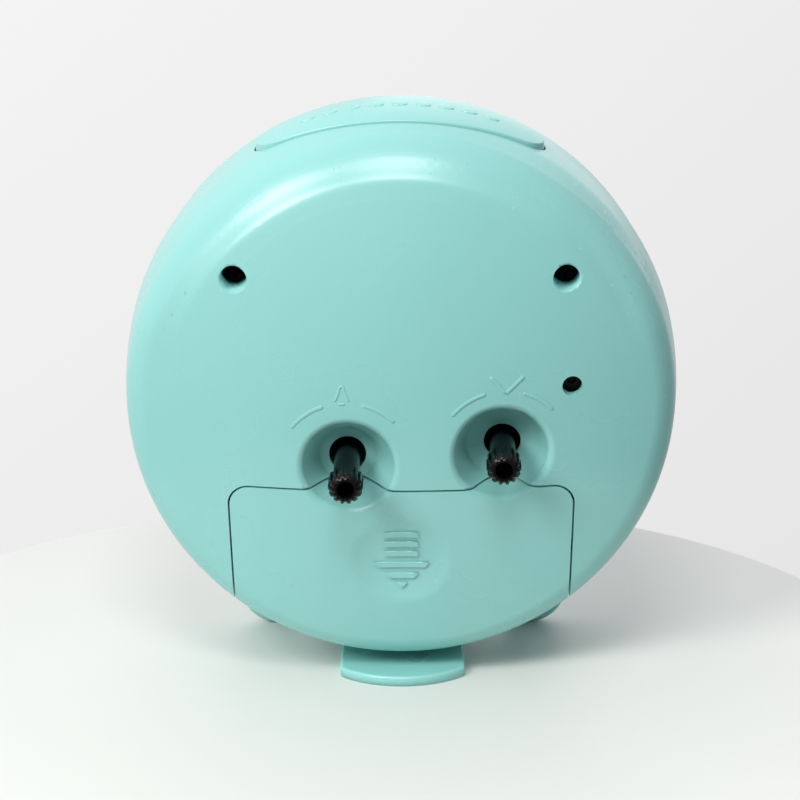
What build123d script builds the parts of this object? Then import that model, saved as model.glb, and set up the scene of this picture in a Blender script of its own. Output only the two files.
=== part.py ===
from build123d import *
import os
from math import asin, atan2, cos, degrees, hypot, pi, radians, sin, sqrt, tan

# A round bedside alarm clock with a push-bar night light.
# Local frame while modelling: the hand axis is the Y axis, the dial looks towards -Y,
# the knobs stick out towards +Y and +Z is up along the back. At the end every piece is
# leaned back about the X axis and lifted, so that the feet stand on Z = 0.

# ---- case form -----------------------------------------------------------------------
lean_deg = 2.0              # how far the dial looks up
ground_clearance = 4.0      # between the table and the underside of the case
case_radius = 55.0          # at the seam between front housing and rear shell
seam_y = -0.5
back_y = 29.3               # crown of the back
front_y = -17.9             # front rim
dome_radius = 145.0         # slight dome of the back
edge_radius = 7.0           # rounding between dome and flank
flank_radius = 128.0        # long arc of the flank
front_taper = 1.3           # the front rim is this much smaller in radius
front_edge_radius = 4.0
wall = 2.2

# ---- fits ----------------------------------------------------------------------------
seat_gap = 0.05             # pieces dropped into a seat
slide_gap = 0.3             # pieces that move past each other
pivot_gap = 0.07            # running fit of arbors, radial
push_fit = 0.02             # hands and knobs pushed on, radial

# ---- seam lip ------------------------------------------------------------------------
lip_thickness = 1.3
lip_root = 3.0              # how far the lip runs inside the front housing
lip_length = 2.5            # how far it reaches into the rear shell

# ---- front housing -------------------------------------------------------------------
rim_width = 7.1             # from the seam's radius in to the lens
lens_thickness = 1.5
lens_front_y = -16.4
bezel_width = 2.6
bezel_front_y = -17.7
lens_seat_width = 1.3
dial_clearance = 0.3        # between the dial and the wall around it
inner_wall = 1.6
relief_front_y = -12.5      # bottom of the annular relief between the two walls
diaphragm_front_y = -3.2
diaphragm_thickness = 1.8
diffuser_seat_width = 2.2
diffuser_thickness = 1.6
diffuser_front_y = -8.0
dial_thickness = 0.6
centre_hole_radius = 4.2
dial_ring_lip = 1.0         # front width of the sloped ring between lens and dial
dial_ring_foot = 2.6        # its width on the dial

# ---- feet ----------------------------------------------------------------------------
tab_width = 25.0
tab_thickness = 2.0
tab_rear_y = 21.9
tab_arc_radius = 16.5
tab_edge_radius = 0.6
pedestal_front_y = -13.0
pedestal_rear_y = -3.5
pedestal_height = 12.0
foot_inner_x = 21.5
foot_outer_x = 33.9
foot_front_y = -18.3
foot_rear_y = -14.4
foot_height = 21.5
foot_outer_radius = 7.6
foot_edge_radius = 1.7

# ---- knobs and their dishes ----------------------------------------------------------
alarm_x = 10.5
alarm_rise = 4.95           # knob above the upper edge of the battery door
time_x = -19.9
time_rise = 7.45
dish_floor_y = 19.6
alarm_dish_floor_radius = 5.5
time_dish_floor_radius = 7.2
dish_rim_radius = 9.4       # where the sloped wall meets the back
dish_wall = 1.5
dish_rim_fillet = 1.5
knob_hole_radius = 3.65
knob_stem_radius = 2.5
knob_head_radius = 3.35
knob_head_length = 5.4
knob_shoulder_length = 1.1
knob_nose_length = 2.2      # rounded front part of the head
knob_nose_radius = 2.1      # its radius at the end face
knob_teeth = 14
knob_tooth_width = 0.55
knob_tooth_depth = 0.4      # on the straight part of the head
knob_tooth_end_depth = 0.2  # at the end face
knob_end_bore_radius = 1.7
knob_end_bore_depth = 8.0
knob_root_y = 12.8
knob_socket_depth = 3.0
alarm_knob_end_y = 40.6
time_knob_end_y = 37.0
setting_shaft_radius = 1.5
setting_pivot_radius = 0.8

# ---- rear shell details --------------------------------------------------------------
screw_hole_x = 32.1
screw_hole_z = 26.4
screw_bore_radius = 2.65
screw_boss_radius = 4.3
screw_boss_y = 14.0         # where rear and front bosses meet
screw_seat_y = 15.8
sound_hole_x = -33.3
sound_hole_z = 5.35
sound_hole_radius = 1.95
buzzer_radius = 7.0
buzzer_height = 4.0
buzzer_rear_y = 20.8
buzzer_port_radius = 1.0
buzzer_port_depth = 1.2
buzzer_holder_wall = 1.4
buzzer_step = 0.7

# ---- screws --------------------------------------------------------------------------
screw_radius = 1.25
screw_pilot_radius = 1.28
screw_clear_radius = 1.6
pilot_room = 0.2            # pilot hole beyond the screw's tip
screw_head_radius = 2.4
screw_head_height = 1.8
screw_slot_width = 0.6
screw_slot_length = 2.6
screw_slot_depth = 0.9
screw_tip_y = 3.8
lower_screw_tip_y = -1.0
front_boss_radius = 3.2
lower_screw_x = 17.5

# ---- battery bay ---------------------------------------------------------------------
cell_radius = 7.1
cell_length = 49.5
cell_nub_radius = 2.6
cell_nub_length = 1.0
cell_y = 12.2
cell_gap = 0.4              # between the two cells
cell_wall_gap = 0.6         # between the lower cell's corners and the case wall
cell_shift_x = 1.35         # each cell sits off centre, towards its positive plate
cell_end_gap = 0.2
bay_floor_gap = 0.1
bay_floor_thickness = 1.3
bay_end_room = 4.15         # beyond half a cell, for nub, dimple or coil
bay_side_wall = 1.2
bay_side_top_y = 17.0
bay_top_wall = 1.1
contact_thickness = 0.4
contact_width = 11.0
plate_end_gap = 1.73        # between the lower contacts' ends and the case wall
contact_coil_radius = 3.2
contact_wire_radius = 0.35
contact_coil_turns = 3.5

# ---- battery door --------------------------------------------------------------------
door_half_width = 33.8
door_top_margin = 1.05      # upper edge of the door above the upper cell
door_front_y = 7.0
door_corner_radius = 4.0
door_taper_deg = 1.4        # its sides close in downwards
door_gap = 0.4
door_thickness = 1.9
door_pocket_wall = 1.2
door_travel = 1.6
ledge_thickness = 1.4
ledge_width = 1.7
ledge_hold = 1.5            # how far a ledge grips behind the shell
hook_drop = 11.65           # hooks below the upper edge of the door
hook_thickness = 1.2
hook_reach = 1.3
grip_drop = 15.15
grip_radius = 9.8
grip_depth = 1.1            # below the dome, at the middle
grip_rim_fillet = 9.0
rib_height = 0.45
rib_width = 1.05
rib_rises = (5.65, 3.5, 1.3, -1.2, -3.65)      # above the middle of the grip
rib_top_half_lengths = (3.3, 3.3, 3.3, 5.45, 3.4)
rib_low_half_lengths = (3.3, 3.3, 3.3, 4.65, 2.35)
arrow_tip_half_width = 1.1
arrow_tip_drop = 5.3        # its base below the middle of the grip
arrow_tip_length = 1.1

# ---- push bar ------------------------------------------------------------------------
bar_half_length = 28.3
bar_half_width = 8.0
bar_end_radius = 5.5        # of the oval's ends
bar_plan_y = 2.5            # middle of the oval
bar_y = 3.5                 # springs, post and switch under the bar
bar_proud = 1.3
bar_crown_radius = 34.0     # from front to rear
bar_crown_y = 0.2           # its highest line
bar_thickness = 2.2
bar_edge_radius = 0.4
bar_gap = 0.3
bar_flange_reach = 1.6
bar_flange_thickness = 1.2
bar_skirt = 1.6
bar_travel = 1.2
bar_room_drop = 8.0         # room around the bar, from this far below the shelf
shelf_drop = 11.2           # shelf below the top of the seam
shelf_thickness = 1.5
shelf_half_width = 22.5
shelf_front_y = 0.0
spring_x = 16.0
spring_radius = 2.8
spring_wire_radius = 0.3
spring_turns = 5.0
spring_seat_drop = 5.0      # flat pad under the bar, below the top of the seam
spring_pad_radius = 3.8
spigot_radius = 1.9
spigot_length = 2.2
post_radius = 2.0

# ---- night light switch --------------------------------------------------------------
switch_board_length = 24.0
switch_board_width = 12.0
board_thickness = 1.2
switch_size = 6.0
switch_height = 3.5
plunger_radius = 1.7
plunger_proud = 1.3
plunger_depth = 1.7

# ---- night light ---------------------------------------------------------------------
light_board_margin = 3.4    # inside the diffuser's seat
light_board_width = 8.0
light_board_thickness = 1.0
light_board_span_deg = 150.0
led_size = 3.2
led_height = 1.4
led_count = 5

# ---- movement ------------------------------------------------------------------------
movement_left_x = -31.0
movement_right_x = 24.0
movement_top_z = 22.0
movement_low_margin = 11.0  # shallow front part below the time setting shaft
movement_gap = 0.45         # deep rear part above the battery bay
movement_corner_radius = 3.0
movement_wall = 1.0
movement_step_y = 3.4       # rear face of the shallow part
movement_rear_y = 12.0
snap_thickness = 1.5
snap_width = 8.0
snap_z = 6.0
snap_hook = 0.9
snap_head = 1.2

alarm_wheel_y = -0.15
hour_wheel_y = 0.8
minute_wheel_y = 1.7
motion_wheel_y = 2.75
wheel_thickness = 0.6
bridge_y = 3.8
bridge_thickness = 0.6
second_wheel_y = 4.8
rotor_wheel_y = 5.8
alarm_wheel_teeth = 48
alarm_pinion_teeth = 16
minute_wheel_teeth = 48
time_pinion_teeth = 36
cannon_teeth = 12
motion_wheel_teeth = 36
motion_pinion_teeth = 10
hour_wheel_teeth = 40
second_wheel_teeth = 60
train_pinion_teeth = 8
train_wheel_teeth = 32
motion_distance = 13.8
motion_angle_deg = 35.0
train_module = 0.25
train_angle_deg = 160.0
motion_shaft_radius = 0.8
train_shaft_radius = 0.5
pivot_post_wall = 0.9
bridge_left_x = -18.0
bridge_right_x = 14.6
bridge_low_z = -6.0
bridge_top_z = 13.0
bridge_post_radius = 1.0
rotor_magnet_radius = 3.0
rotor_magnet_height = 2.0
rotor_magnet_y = 6.8
stator_y = 7.4
stator_thickness = 0.8
stator_hole_radius = 3.4
stator_ring_radius = 6.8
stator_arm_width = 1.8
stator_left_x = -20.0
stator_right_x = -5.0
coil_z = 16.5
coil_radius = 2.7
coil_bore_radius = 1.3
coil_end_gap = 0.3
circuit_left_x = -2.0
circuit_right_x = 20.0
circuit_low_z = 12.6
circuit_top_z = 20.2
circuit_thickness = 1.0

# ---- arbors and hands ----------------------------------------------------------------
second_arbor_radius = 0.85
minute_tube_radius = 1.9
hour_tube_radius = 2.55
alarm_tube_radius = 3.2
hand_thickness = 0.4
alarm_hand_y = -10.0        # front faces of the hands
hour_hand_y = -11.2
minute_hand_y = -12.4
second_hand_y = -13.6
tube_end_proud = 0.2
hand_hub_margin = 1.3
alarm_hand_length = 22.0
hour_hand_length = 24.0
minute_hand_length = 36.0
second_hand_length = 39.0
second_hand_tail = 11.0
alarm_hand_width = 2.0
hour_hand_width = 4.2
minute_hand_width = 3.4
second_hand_width = 1.2
alarm_hand_deg = 210.0      # clockwise from twelve, seen from the front
hour_hand_deg = 305.0
minute_hand_deg = 60.0
second_hand_deg = 140.0

# ---- places that follow ----------------------------------------------------------------
axis_height = case_radius + ground_clearance
lens_radius = case_radius - rim_width
dial_bore = lens_radius - lens_seat_width
dial_radius = dial_bore - dial_clearance
light_board_outer_radius = dial_bore - diffuser_seat_width - light_board_margin
light_board_inner_radius = light_board_outer_radius - light_board_width
cell_reach = cell_length / 2 + cell_shift_x
cell_bottom_z = -sqrt((case_radius - wall - cell_wall_gap) ** 2 - cell_reach ** 2)
lower_cell_z = cell_bottom_z + cell_radius
upper_cell_z = lower_cell_z + 2 * cell_radius + cell_gap
door_top_z = upper_cell_z + cell_radius + door_top_margin
alarm_z = door_top_z + alarm_rise
time_z = door_top_z + time_rise
hook_z = door_top_z - hook_drop
grip_z = door_top_z - grip_drop
bay_half_width = cell_length / 2 + bay_end_room
plate_low_z = -sqrt((case_radius - wall - plate_end_gap) ** 2 - bay_half_width ** 2)
movement_low_z = time_z - movement_low_margin
movement_step_z = door_top_z + door_gap + bay_top_wall + movement_gap
shelf_top_z = case_radius - shelf_drop
spring_seat_z = case_radius - spring_seat_drop


# ======================================================================================
# helpers
# ======================================================================================
def box(x0, x1, y0, y1, z0, z1):
    """Box between two corners."""
    centre = Pos((x0 + x1) / 2, (y0 + y1) / 2, (z0 + z1) / 2)
    return centre * Box(x1 - x0, y1 - y0, z1 - z0)


def rod(x, z, y0, y1, radius):
    """Cylinder along Y."""
    return Pos(x, (y0 + y1) / 2, z) * Rot(90, 0, 0) * Cylinder(radius, y1 - y0)


def tube(x, z, y0, y1, outer, inner):
    """Tube along Y."""
    return rod(x, z, y0, y1, outer) - rod(x, z, y0, y1, inner)


def post(x, y, z0, z1, radius):
    """Cylinder along Z."""
    return Pos(x, y, (z0 + z1) / 2) * Cylinder(radius, z1 - z0)


def cone_y(x, z, y0, y1, r0, r1):
    """Truncated cone along Y, radius r0 at y0 and r1 at y1."""
    profile = make_face(Polyline((0, y0), (r0, y0), (r1, y1), (0, y1), close=True))
    return Pos(x, 0, z) * revolve(profile, Axis.Y)


def plate(outline, y0, y1):
    """Extrude a sketch drawn as (x, z) from y0 to y1."""
    return Pos(0, y1, 0) * Rot(90, 0, 0) * extrude(outline, y1 - y0)


def rounded_plate(x0, x1, z0, z1, y0, y1, radius):
    """Rounded rectangle plate in the XZ plane."""
    outline = Pos((x0 + x1) / 2, (z0 + z1) / 2) * RectangleRounded(x1 - x0, z1 - z0, radius)
    return plate(outline, y0, y1)


def gear(x, z, y0, teeth, module, turn_deg=0.0, thickness=wheel_thickness):
    """Spur gear with short straight-flanked teeth. turn_deg is the direction of one tooth."""
    addendum = 0.6 * module
    dedendum = 0.9 * module
    pitch_radius = teeth * module / 2
    root = pitch_radius - dedendum
    tip = pitch_radius + addendum
    pitch = 2 * pi / teeth
    points = []
    for index in range(teeth):
        middle = radians(turn_deg) + index * pitch
        for radius, share in ((root, -0.31), (tip, -0.13), (tip, 0.13), (root, 0.31)):
            angle = middle + share * pitch
            points.append((radius * cos(angle), radius * sin(angle)))
    outline = Pos(x, z) * make_face(Polyline(*points, close=True))
    return plate(outline, y0, y0 + thickness)


def meshing_turn(towards_deg, teeth):
    """Turn that puts a tooth gap in the given direction."""
    return towards_deg + 180.0 / teeth


def direction_deg(x0, z0, x1, z1):
    """Direction from one axis to another in the XZ plane."""
    return degrees(atan2(z1 - z0, x1 - x0))


# ======================================================================================
# case form
# ======================================================================================
def edge_centre():
    """Centre of the edge arc, tangent inside both the flank arc and the dome arc."""
    flank = (case_radius - flank_radius, seam_y)
    dome = (0.0, back_y - dome_radius)
    to_flank = flank_radius - edge_radius
    to_dome = dome_radius - edge_radius
    dx = dome[0] - flank[0]
    dy = dome[1] - flank[1]
    span = hypot(dx, dy)
    along = (to_flank ** 2 - to_dome ** 2 + span ** 2) / (2 * span)
    across = sqrt(to_flank ** 2 - along ** 2)
    return (flank[0] + (along * dx - across * dy) / span,
            flank[1] + (along * dy + across * dx) / span)


def arc_about(centre, radius, start, end):
    """Arc about a centre between two angles in radians."""
    def at(angle):
        return (centre[0] + radius * cos(angle), centre[1] + radius * sin(angle))
    return ThreePointArc(at(start), at((start + end) / 2), at(end))


def bar_prism(margin, z0, z1):
    """Upright prism over the four-arc oval of the push bar, grown by a margin."""
    end_x = bar_half_length - bar_end_radius
    side_radius = ((end_x ** 2 + bar_half_width ** 2 - bar_end_radius ** 2)
                   / (2 * (bar_half_width - bar_end_radius)))
    side_y = side_radius - bar_half_width
    turn = atan2(end_x, side_y)
    end = bar_end_radius + margin
    side = side_radius + margin
    arcs = [arc_about((0, -side_y), side, pi / 2 - turn, pi / 2 + turn),
            arc_about((-end_x, 0), end, pi / 2 + turn, 3 * pi / 2 - turn),
            arc_about((0, side_y), side, 3 * pi / 2 - turn, 3 * pi / 2 + turn),
            arc_about((end_x, 0), end, -pi / 2 + turn, pi / 2 - turn)]
    return Pos(0, bar_plan_y, z0) * extrude(make_face(arcs), z1 - z0)


def rear_volume(inset):
    """Solid of the rear form, moved inwards by an inset and closed at the seam."""
    flank = (case_radius - flank_radius, seam_y)
    dome = (0.0, back_y - dome_radius)
    edge = edge_centre()
    flank_end = atan2(edge[1] - flank[1], edge[0] - flank[0])
    dome_start = atan2(edge[1] - dome[1], edge[0] - dome[0])
    flank_arc = arc_about(flank, flank_radius - inset, 0.0, flank_end)
    edge_arc = arc_about(edge, edge_radius - inset, flank_end, dome_start)
    dome_arc = arc_about(dome, dome_radius - inset, dome_start, pi / 2)
    floor = Line((0, seam_y), (case_radius - inset, seam_y))
    axis = Line((0, back_y - inset), (0, seam_y))
    return revolve(make_face([floor, flank_arc, edge_arc, dome_arc, axis]), Axis.Y)


def surface_y(x, z, inset=0.0):
    """Height of the domed back above a point of the XZ plane."""
    radius = dome_radius - inset
    return back_y - dome_radius + sqrt(radius ** 2 - x ** 2 - z ** 2)


def front_volume(inset):
    """Tapered disc of the front housing, moved inwards by an inset, open-ended rule."""
    rim = case_radius - front_taper
    profile = make_face(Polyline((0, seam_y), (case_radius - inset, seam_y),
                                 (rim - inset, front_y), (0, front_y), close=True))
    return revolve(profile, Axis.Y)


def case_volume(inset):
    """Front and rear forms together."""
    return front_volume(inset) + rear_volume(inset)


def front_body():
    """Front housing's outer form with its rounded front rim."""
    rim = case_radius - front_taper
    corner = (rim - front_edge_radius, front_y + front_edge_radius)
    middle = (corner[0] + front_edge_radius * cos(-pi / 4),
              corner[1] + front_edge_radius * sin(-pi / 4))
    lines = [Line((0, seam_y), (case_radius, seam_y)),
             Line((case_radius, seam_y), (rim, corner[1])),
             ThreePointArc((rim, corner[1]), middle, (corner[0], front_y)),
             Line((corner[0], front_y), (0, front_y)),
             Line((0, front_y), (0, seam_y))]
    return revolve(make_face(lines), Axis.Y)


def stand(shape):
    """Lean a piece back and lift it onto its feet."""
    return Pos(0, 0, axis_height) * Rot(-lean_deg, 0, 0) * shape


# ======================================================================================
# front housing and what it carries
# ======================================================================================
diaphragm_rear_y = diaphragm_front_y + diaphragm_thickness
bay_floor_y = cell_y - cell_radius - bay_floor_gap
bay_floor_front_y = bay_floor_y - bay_floor_thickness
lower_screw_z = (upper_cell_z + lower_cell_z) / 2
hook_length = door_travel - 4 * slide_gap / 3


def front_bosses():
    """Four screw bosses behind the diaphragm."""
    bosses = []
    for side in (-1, 1):
        bosses.append(rod(side * screw_hole_x, screw_hole_z,
                          diaphragm_rear_y - 0.5, screw_boss_y, front_boss_radius))
        bosses.append(rod(side * lower_screw_x, lower_screw_z,
                          diaphragm_rear_y - 0.5, bay_floor_front_y, front_boss_radius))
    return Part() + bosses


def screw_pilots():
    """Pilot holes in the front bosses."""
    pilots = []
    for side in (-1, 1):
        pilots.append(rod(side * screw_hole_x, screw_hole_z,
                          screw_tip_y - pilot_room, screw_boss_y + 1, screw_pilot_radius))
        pilots.append(rod(side * lower_screw_x, lower_screw_z,
                          lower_screw_tip_y - pilot_room, bay_floor_front_y + 1,
                          screw_pilot_radius))
    return Part() + pilots


def movement_snaps():
    """Two hooked posts that hold the movement by its sides."""
    snaps = []
    for side, edge_x in ((-1, movement_left_x), (1, movement_right_x)):
        near = edge_x + side * seat_gap
        far = near + side * snap_thickness
        tip = near - side * snap_hook
        low = snap_z - snap_width / 2
        high = snap_z + snap_width / 2
        top_y = movement_rear_y + snap_head
        snaps.append(box(min(near, far), max(near, far), diaphragm_rear_y - 0.5, top_y, low, high))
        snaps.append(box(min(tip, far), max(tip, far), movement_rear_y, top_y, low, high))
    return Part() + snaps


def seam_lip():
    """Locating lip that reaches from the front housing into the rear shell."""
    root = tube(0, 0, seam_y - lip_root, seam_y, case_radius - wall + 0.3,
                case_radius - wall - lip_thickness)
    reach = tube(0, 0, seam_y, seam_y + lip_length, case_radius - wall - 3 * seat_gap,
                 case_radius - wall - lip_thickness)
    return root + reach


def rear_tab():
    """Flat tongue that runs back along the table under the case."""
    half = tab_width / 2
    centre_y = tab_rear_y - tab_arc_radius
    tongue = box(-half, half, pedestal_front_y, centre_y, 0, tab_thickness)
    rounded = Pos(0, centre_y, tab_thickness / 2) * Cylinder(tab_arc_radius, tab_thickness)
    rounded = rounded & box(-half, half, centre_y, tab_rear_y, 0, tab_thickness)
    tab = tongue + rounded
    top_edges = tab.edges().filter_by(lambda edge: edge.center().Z > tab_thickness - 0.01
                                      and edge.center().Y > pedestal_rear_y)
    tab = fillet(top_edges, tab_edge_radius)
    pedestal = box(-half, half, pedestal_front_y, pedestal_rear_y, 0, pedestal_height)
    return tab + pedestal


def front_foot(side):
    """One rounded front foot."""
    inner = side * foot_inner_x
    outer = side * foot_outer_x
    block = box(min(inner, outer), max(inner, outer), foot_front_y, foot_rear_y, 0, foot_height)
    long_edges = block.edges().filter_by(Axis.Y).group_by(Axis.Z)[0]
    outer_edge = long_edges.sort_by(Axis.X)[-1 if side > 0 else 0]
    block = fillet(outer_edge, foot_outer_radius)
    rest = block.edges().filter_by(lambda edge: edge.center().Z < foot_outer_radius)
    rest = rest.filter_by(lambda edge: edge.center().Y > foot_rear_y - 0.01
                          or edge.center().Y < foot_front_y + 0.01)
    return fillet(rest, foot_edge_radius)


def front_housing():
    """Ring wall, diaphragm, feet and rear tab, moulded in one."""
    body = front_body()
    body -= rod(0, 0, front_y - 1, lens_front_y + lens_thickness, lens_radius + seat_gap)
    body -= rod(0, 0, front_y - 1, diffuser_front_y + diffuser_thickness, dial_bore)
    body -= rod(0, 0, front_y, diaphragm_front_y, dial_bore - diffuser_seat_width)
    body -= rod(0, 0, diaphragm_rear_y, seam_y + 1, case_radius - wall)
    relief = front_volume(wall) - rod(0, 0, front_y - 1, seam_y + 1, dial_bore + inner_wall)
    body -= relief & box(-case_radius, case_radius, relief_front_y, seam_y + 1,
                         -case_radius, case_radius)
    body += seam_lip()
    body += front_bosses()
    body += movement_snaps()
    body -= screw_pilots()
    body -= rod(0, 0, front_y, seam_y + 1, centre_hole_radius)
    core = rod(0, 0, front_y - 1, back_y, dial_bore + inner_wall)
    body -= bar_prism(bar_gap, shelf_top_z, case_radius + 5) - core
    room = case_volume(wall) - core
    body -= room & bar_prism(bar_flange_reach + bar_gap, shelf_top_z - bar_room_drop,
                                 case_radius)
    body = stand(body)
    feet = rear_tab() + front_foot(-1) + front_foot(1)
    return body + (feet - stand(case_volume(wall / 2)))


def lens():
    """Clear flat lens."""
    disc = rod(0, 0, lens_front_y, lens_front_y + lens_thickness, lens_radius)
    return disc


def bezel_ring():
    """Ring pressed in front of the lens."""
    ring = tube(0, 0, bezel_front_y, lens_front_y, lens_radius, lens_radius - bezel_width)
    front_edges = ring.edges().group_by(Axis.Y)[0]
    return fillet(front_edges, bezel_width / 4)


def dial_ring():
    """Sloped ring between lens and dial."""
    front = lens_front_y + lens_thickness
    rear = diffuser_front_y - dial_thickness
    outer = dial_radius
    profile = make_face(Polyline((outer, front), (outer - dial_ring_lip, front),
                                 (outer - dial_ring_foot, rear), (outer, rear), close=True))
    return revolve(profile, Axis.Y)


def dial():
    """Printed translucent dial."""
    return tube(0, 0, diffuser_front_y - dial_thickness, diffuser_front_y,
                dial_radius, centre_hole_radius)


def diffuser():
    """Opal plate behind the dial."""
    return tube(0, 0, diffuser_front_y, diffuser_front_y + diffuser_thickness,
                dial_radius, centre_hole_radius)


def light_board():
    """Arc-shaped board that carries the light-emitting diodes."""
    sector = Pos(0, 0) * Circle(light_board_outer_radius)
    sector -= Circle(light_board_inner_radius)
    reach = 2 * light_board_outer_radius
    half = radians(light_board_span_deg / 2)
    wedge = make_face(Polyline((0, 0), (reach * sin(-half), reach * cos(half)),
                               (-reach, reach), (reach, reach),
                               (reach * sin(half), reach * cos(half)), close=True))
    return plate(sector & wedge, diaphragm_front_y - light_board_thickness, diaphragm_front_y)


def light_diodes():
    """Surface-mounted diodes along the light board."""
    middle = (light_board_inner_radius + light_board_outer_radius) / 2
    rear = diaphragm_front_y - light_board_thickness
    diodes = []
    for index in range(led_count):
        share = (index + 0.5) / led_count - 0.5
        angle = share * light_board_span_deg
        block = box(-led_size / 2, led_size / 2, rear - led_height, rear,
                    middle - led_size / 2, middle + led_size / 2)
        diodes.append(Rot(0, angle, 0) * block)
    return Part() + diodes


# ======================================================================================
# rear shell, door, push bar
# ======================================================================================
def dish_cut(x, z, floor_radius):
    """Conical hollow around a knob, from its floor out through the back."""
    surface = surface_y(x, z)
    slope = (dish_rim_radius - floor_radius) / (surface - dish_floor_y)
    top_y = back_y + 3
    return cone_y(x, z, dish_floor_y, top_y, floor_radius,
                  floor_radius + slope * (top_y - dish_floor_y))


def dish_body(x, z, floor_radius, thickness):
    """Material around a dish, before the dish is cut."""
    surface = surface_y(x, z)
    slope = (dish_rim_radius - floor_radius) / (surface - dish_floor_y)
    top_y = back_y + 3
    return cone_y(x, z, dish_floor_y - thickness, top_y, floor_radius + thickness,
                  floor_radius + thickness + slope * (top_y - dish_floor_y + thickness))


def dishes():
    """Position and floor radius of each knob dish."""
    return ((alarm_x, alarm_z, alarm_dish_floor_radius),
            (time_x, time_z, time_dish_floor_radius))


def rear_form():
    """Rear form with both dishes sunk in and their rims rounded."""
    form = rear_volume(0)
    for x, z, floor_radius in dishes():
        form -= dish_cut(x, z, floor_radius)
    return fillet(form.edges().filter_by(GeomType.BSPLINE), dish_rim_fillet)


def door_prism(margin):
    """Prism over the outline of the battery door, grown by a margin."""
    top = door_top_z + margin
    low = top - 2 * case_radius
    half = door_half_width + margin
    low_half = half - (top - low) * tan(radians(door_taper_deg))
    outline = make_face(Polyline((-half, top), (half, top), (low_half, low), (-low_half, low),
                                 close=True))
    corners = outline.vertices().group_by(Axis.Y)[-1]
    outline = fillet(corners, door_corner_radius + margin)
    return plate(outline, door_front_y - margin, back_y + 5)


def strip(x0, x1, z0, z1):
    """Both side strips between two distances from the middle, over a height range."""
    front = door_front_y - door_gap - ledge_hold
    right = box(x0, x1, front, back_y + 5, z0, z1)
    left = box(-x1, -x0, front, back_y + 5, z0, z1)
    return right + left


def door_ledges():
    """Ledges inside the opening that carry the door."""
    notch_length = hook_length + door_travel + slide_gap
    opening_x = door_half_width + door_gap
    opening_y = door_front_y - door_gap
    inner_x = door_half_width - ledge_width
    top = door_top_z - door_corner_radius
    notch_top = hook_z - hook_length / 2 - slide_gap
    layer = rear_volume(wall) - rear_volume(wall + ledge_thickness)
    anchor = rear_volume(wall - 0.4) - rear_volume(wall + ledge_thickness)
    hold_x = opening_x + ledge_hold
    carrying = strip(inner_x, hold_x, -case_radius, top)
    carrying -= strip(inner_x - 1, door_half_width, notch_top - notch_length, notch_top)
    holding = strip(opening_x, hold_x, -case_radius, top)
    hold_y = opening_y - ledge_hold
    holding += box(-hold_x, hold_x, hold_y, opening_y, -case_radius, 0)
    carrying += box(-hold_x, hold_x, hold_y, door_front_y + ledge_width, -case_radius, 0)
    return (layer & carrying) + (anchor & holding)


def battery_bay():
    """Floor, side walls and top wall of the battery bay."""
    top = door_top_z + door_gap
    floor = box(-bay_half_width - bay_side_wall, bay_half_width + bay_side_wall,
                bay_floor_front_y, bay_floor_y, -case_radius, top + bay_top_wall)
    roof = box(-bay_half_width - bay_side_wall, bay_half_width + bay_side_wall,
               bay_floor_front_y, back_y, top, top + bay_top_wall)
    sides = []
    for side in (-1, 1):
        near = side * bay_half_width
        far = side * (bay_half_width + bay_side_wall)
        sides.append(box(min(near, far), max(near, far), bay_floor_front_y, bay_side_top_y,
                         -case_radius, top))
    return floor + roof + sides


def shelf():
    """Shelf under the push bar for its springs and switch."""
    return box(-shelf_half_width, shelf_half_width, shelf_front_y, back_y,
               shelf_top_z - shelf_thickness, shelf_top_z)


def rear_shell():
    """Domed rear shell with dishes, bosses, battery bay and shelf."""
    skin = rear_volume(0) - rear_volume(wall)
    extras = battery_bay() + shelf()
    for x, z, floor_radius in dishes():
        extras += dish_body(x, z, floor_radius, dish_wall)
    for side in (-1, 1):
        extras += rod(side * screw_hole_x, screw_hole_z, screw_boss_y, back_y, screw_boss_radius)
    holder_radius = buzzer_radius + seat_gap + buzzer_holder_wall
    extras += rod(sound_hole_x, sound_hole_z, buzzer_rear_y - buzzer_height, back_y, holder_radius)
    lip_room = tube(0, 0, seam_y - 1, seam_y + lip_length + slide_gap, case_radius - wall / 2,
                    case_radius - wall - lip_thickness - slide_gap)
    shell = skin + ((extras & rear_volume(wall / 2)) - lip_room)
    shell -= door_prism(door_gap) - rear_volume(wall)
    straight = door_half_width - door_corner_radius
    shell -= box(-straight, straight, bay_side_top_y, back_y + 5,
                 door_top_z - dish_rim_radius, door_top_z + door_gap)
    shell += door_ledges()
    for x, z, floor_radius in dishes():
        shell -= dish_cut(x, z, floor_radius)
        shell -= rod(x, z, dish_floor_y - dish_wall - 1, dish_floor_y + 1, knob_hole_radius)
        shell -= rod(x, z, bay_floor_y, dish_floor_y - dish_wall, setting_shaft_radius + 1.6)
    for side in (-1, 1):
        shell -= rod(side * screw_hole_x, screw_hole_z, screw_seat_y, back_y + 5,
                     screw_bore_radius)
        shell -= rod(side * screw_hole_x, screw_hole_z, screw_boss_y - 1, screw_seat_y,
                     screw_clear_radius)
        shell -= rod(side * lower_screw_x, lower_screw_z, bay_floor_front_y - 1, bay_floor_y + 1,
                     screw_clear_radius)
    shell -= rod(sound_hole_x, sound_hole_z, buzzer_rear_y - buzzer_height - 1, buzzer_rear_y,
                 buzzer_radius + seat_gap)
    chamber = rod(sound_hole_x, sound_hole_z, buzzer_rear_y - 1, back_y, buzzer_radius - buzzer_step)
    shell -= chamber & rear_volume(wall)
    shell -= rod(sound_hole_x, sound_hole_z, buzzer_rear_y, back_y + 5, sound_hole_radius)
    shell -= bar_prism(bar_gap, shelf_top_z, case_radius + 5)
    return shell & rear_form()


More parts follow.
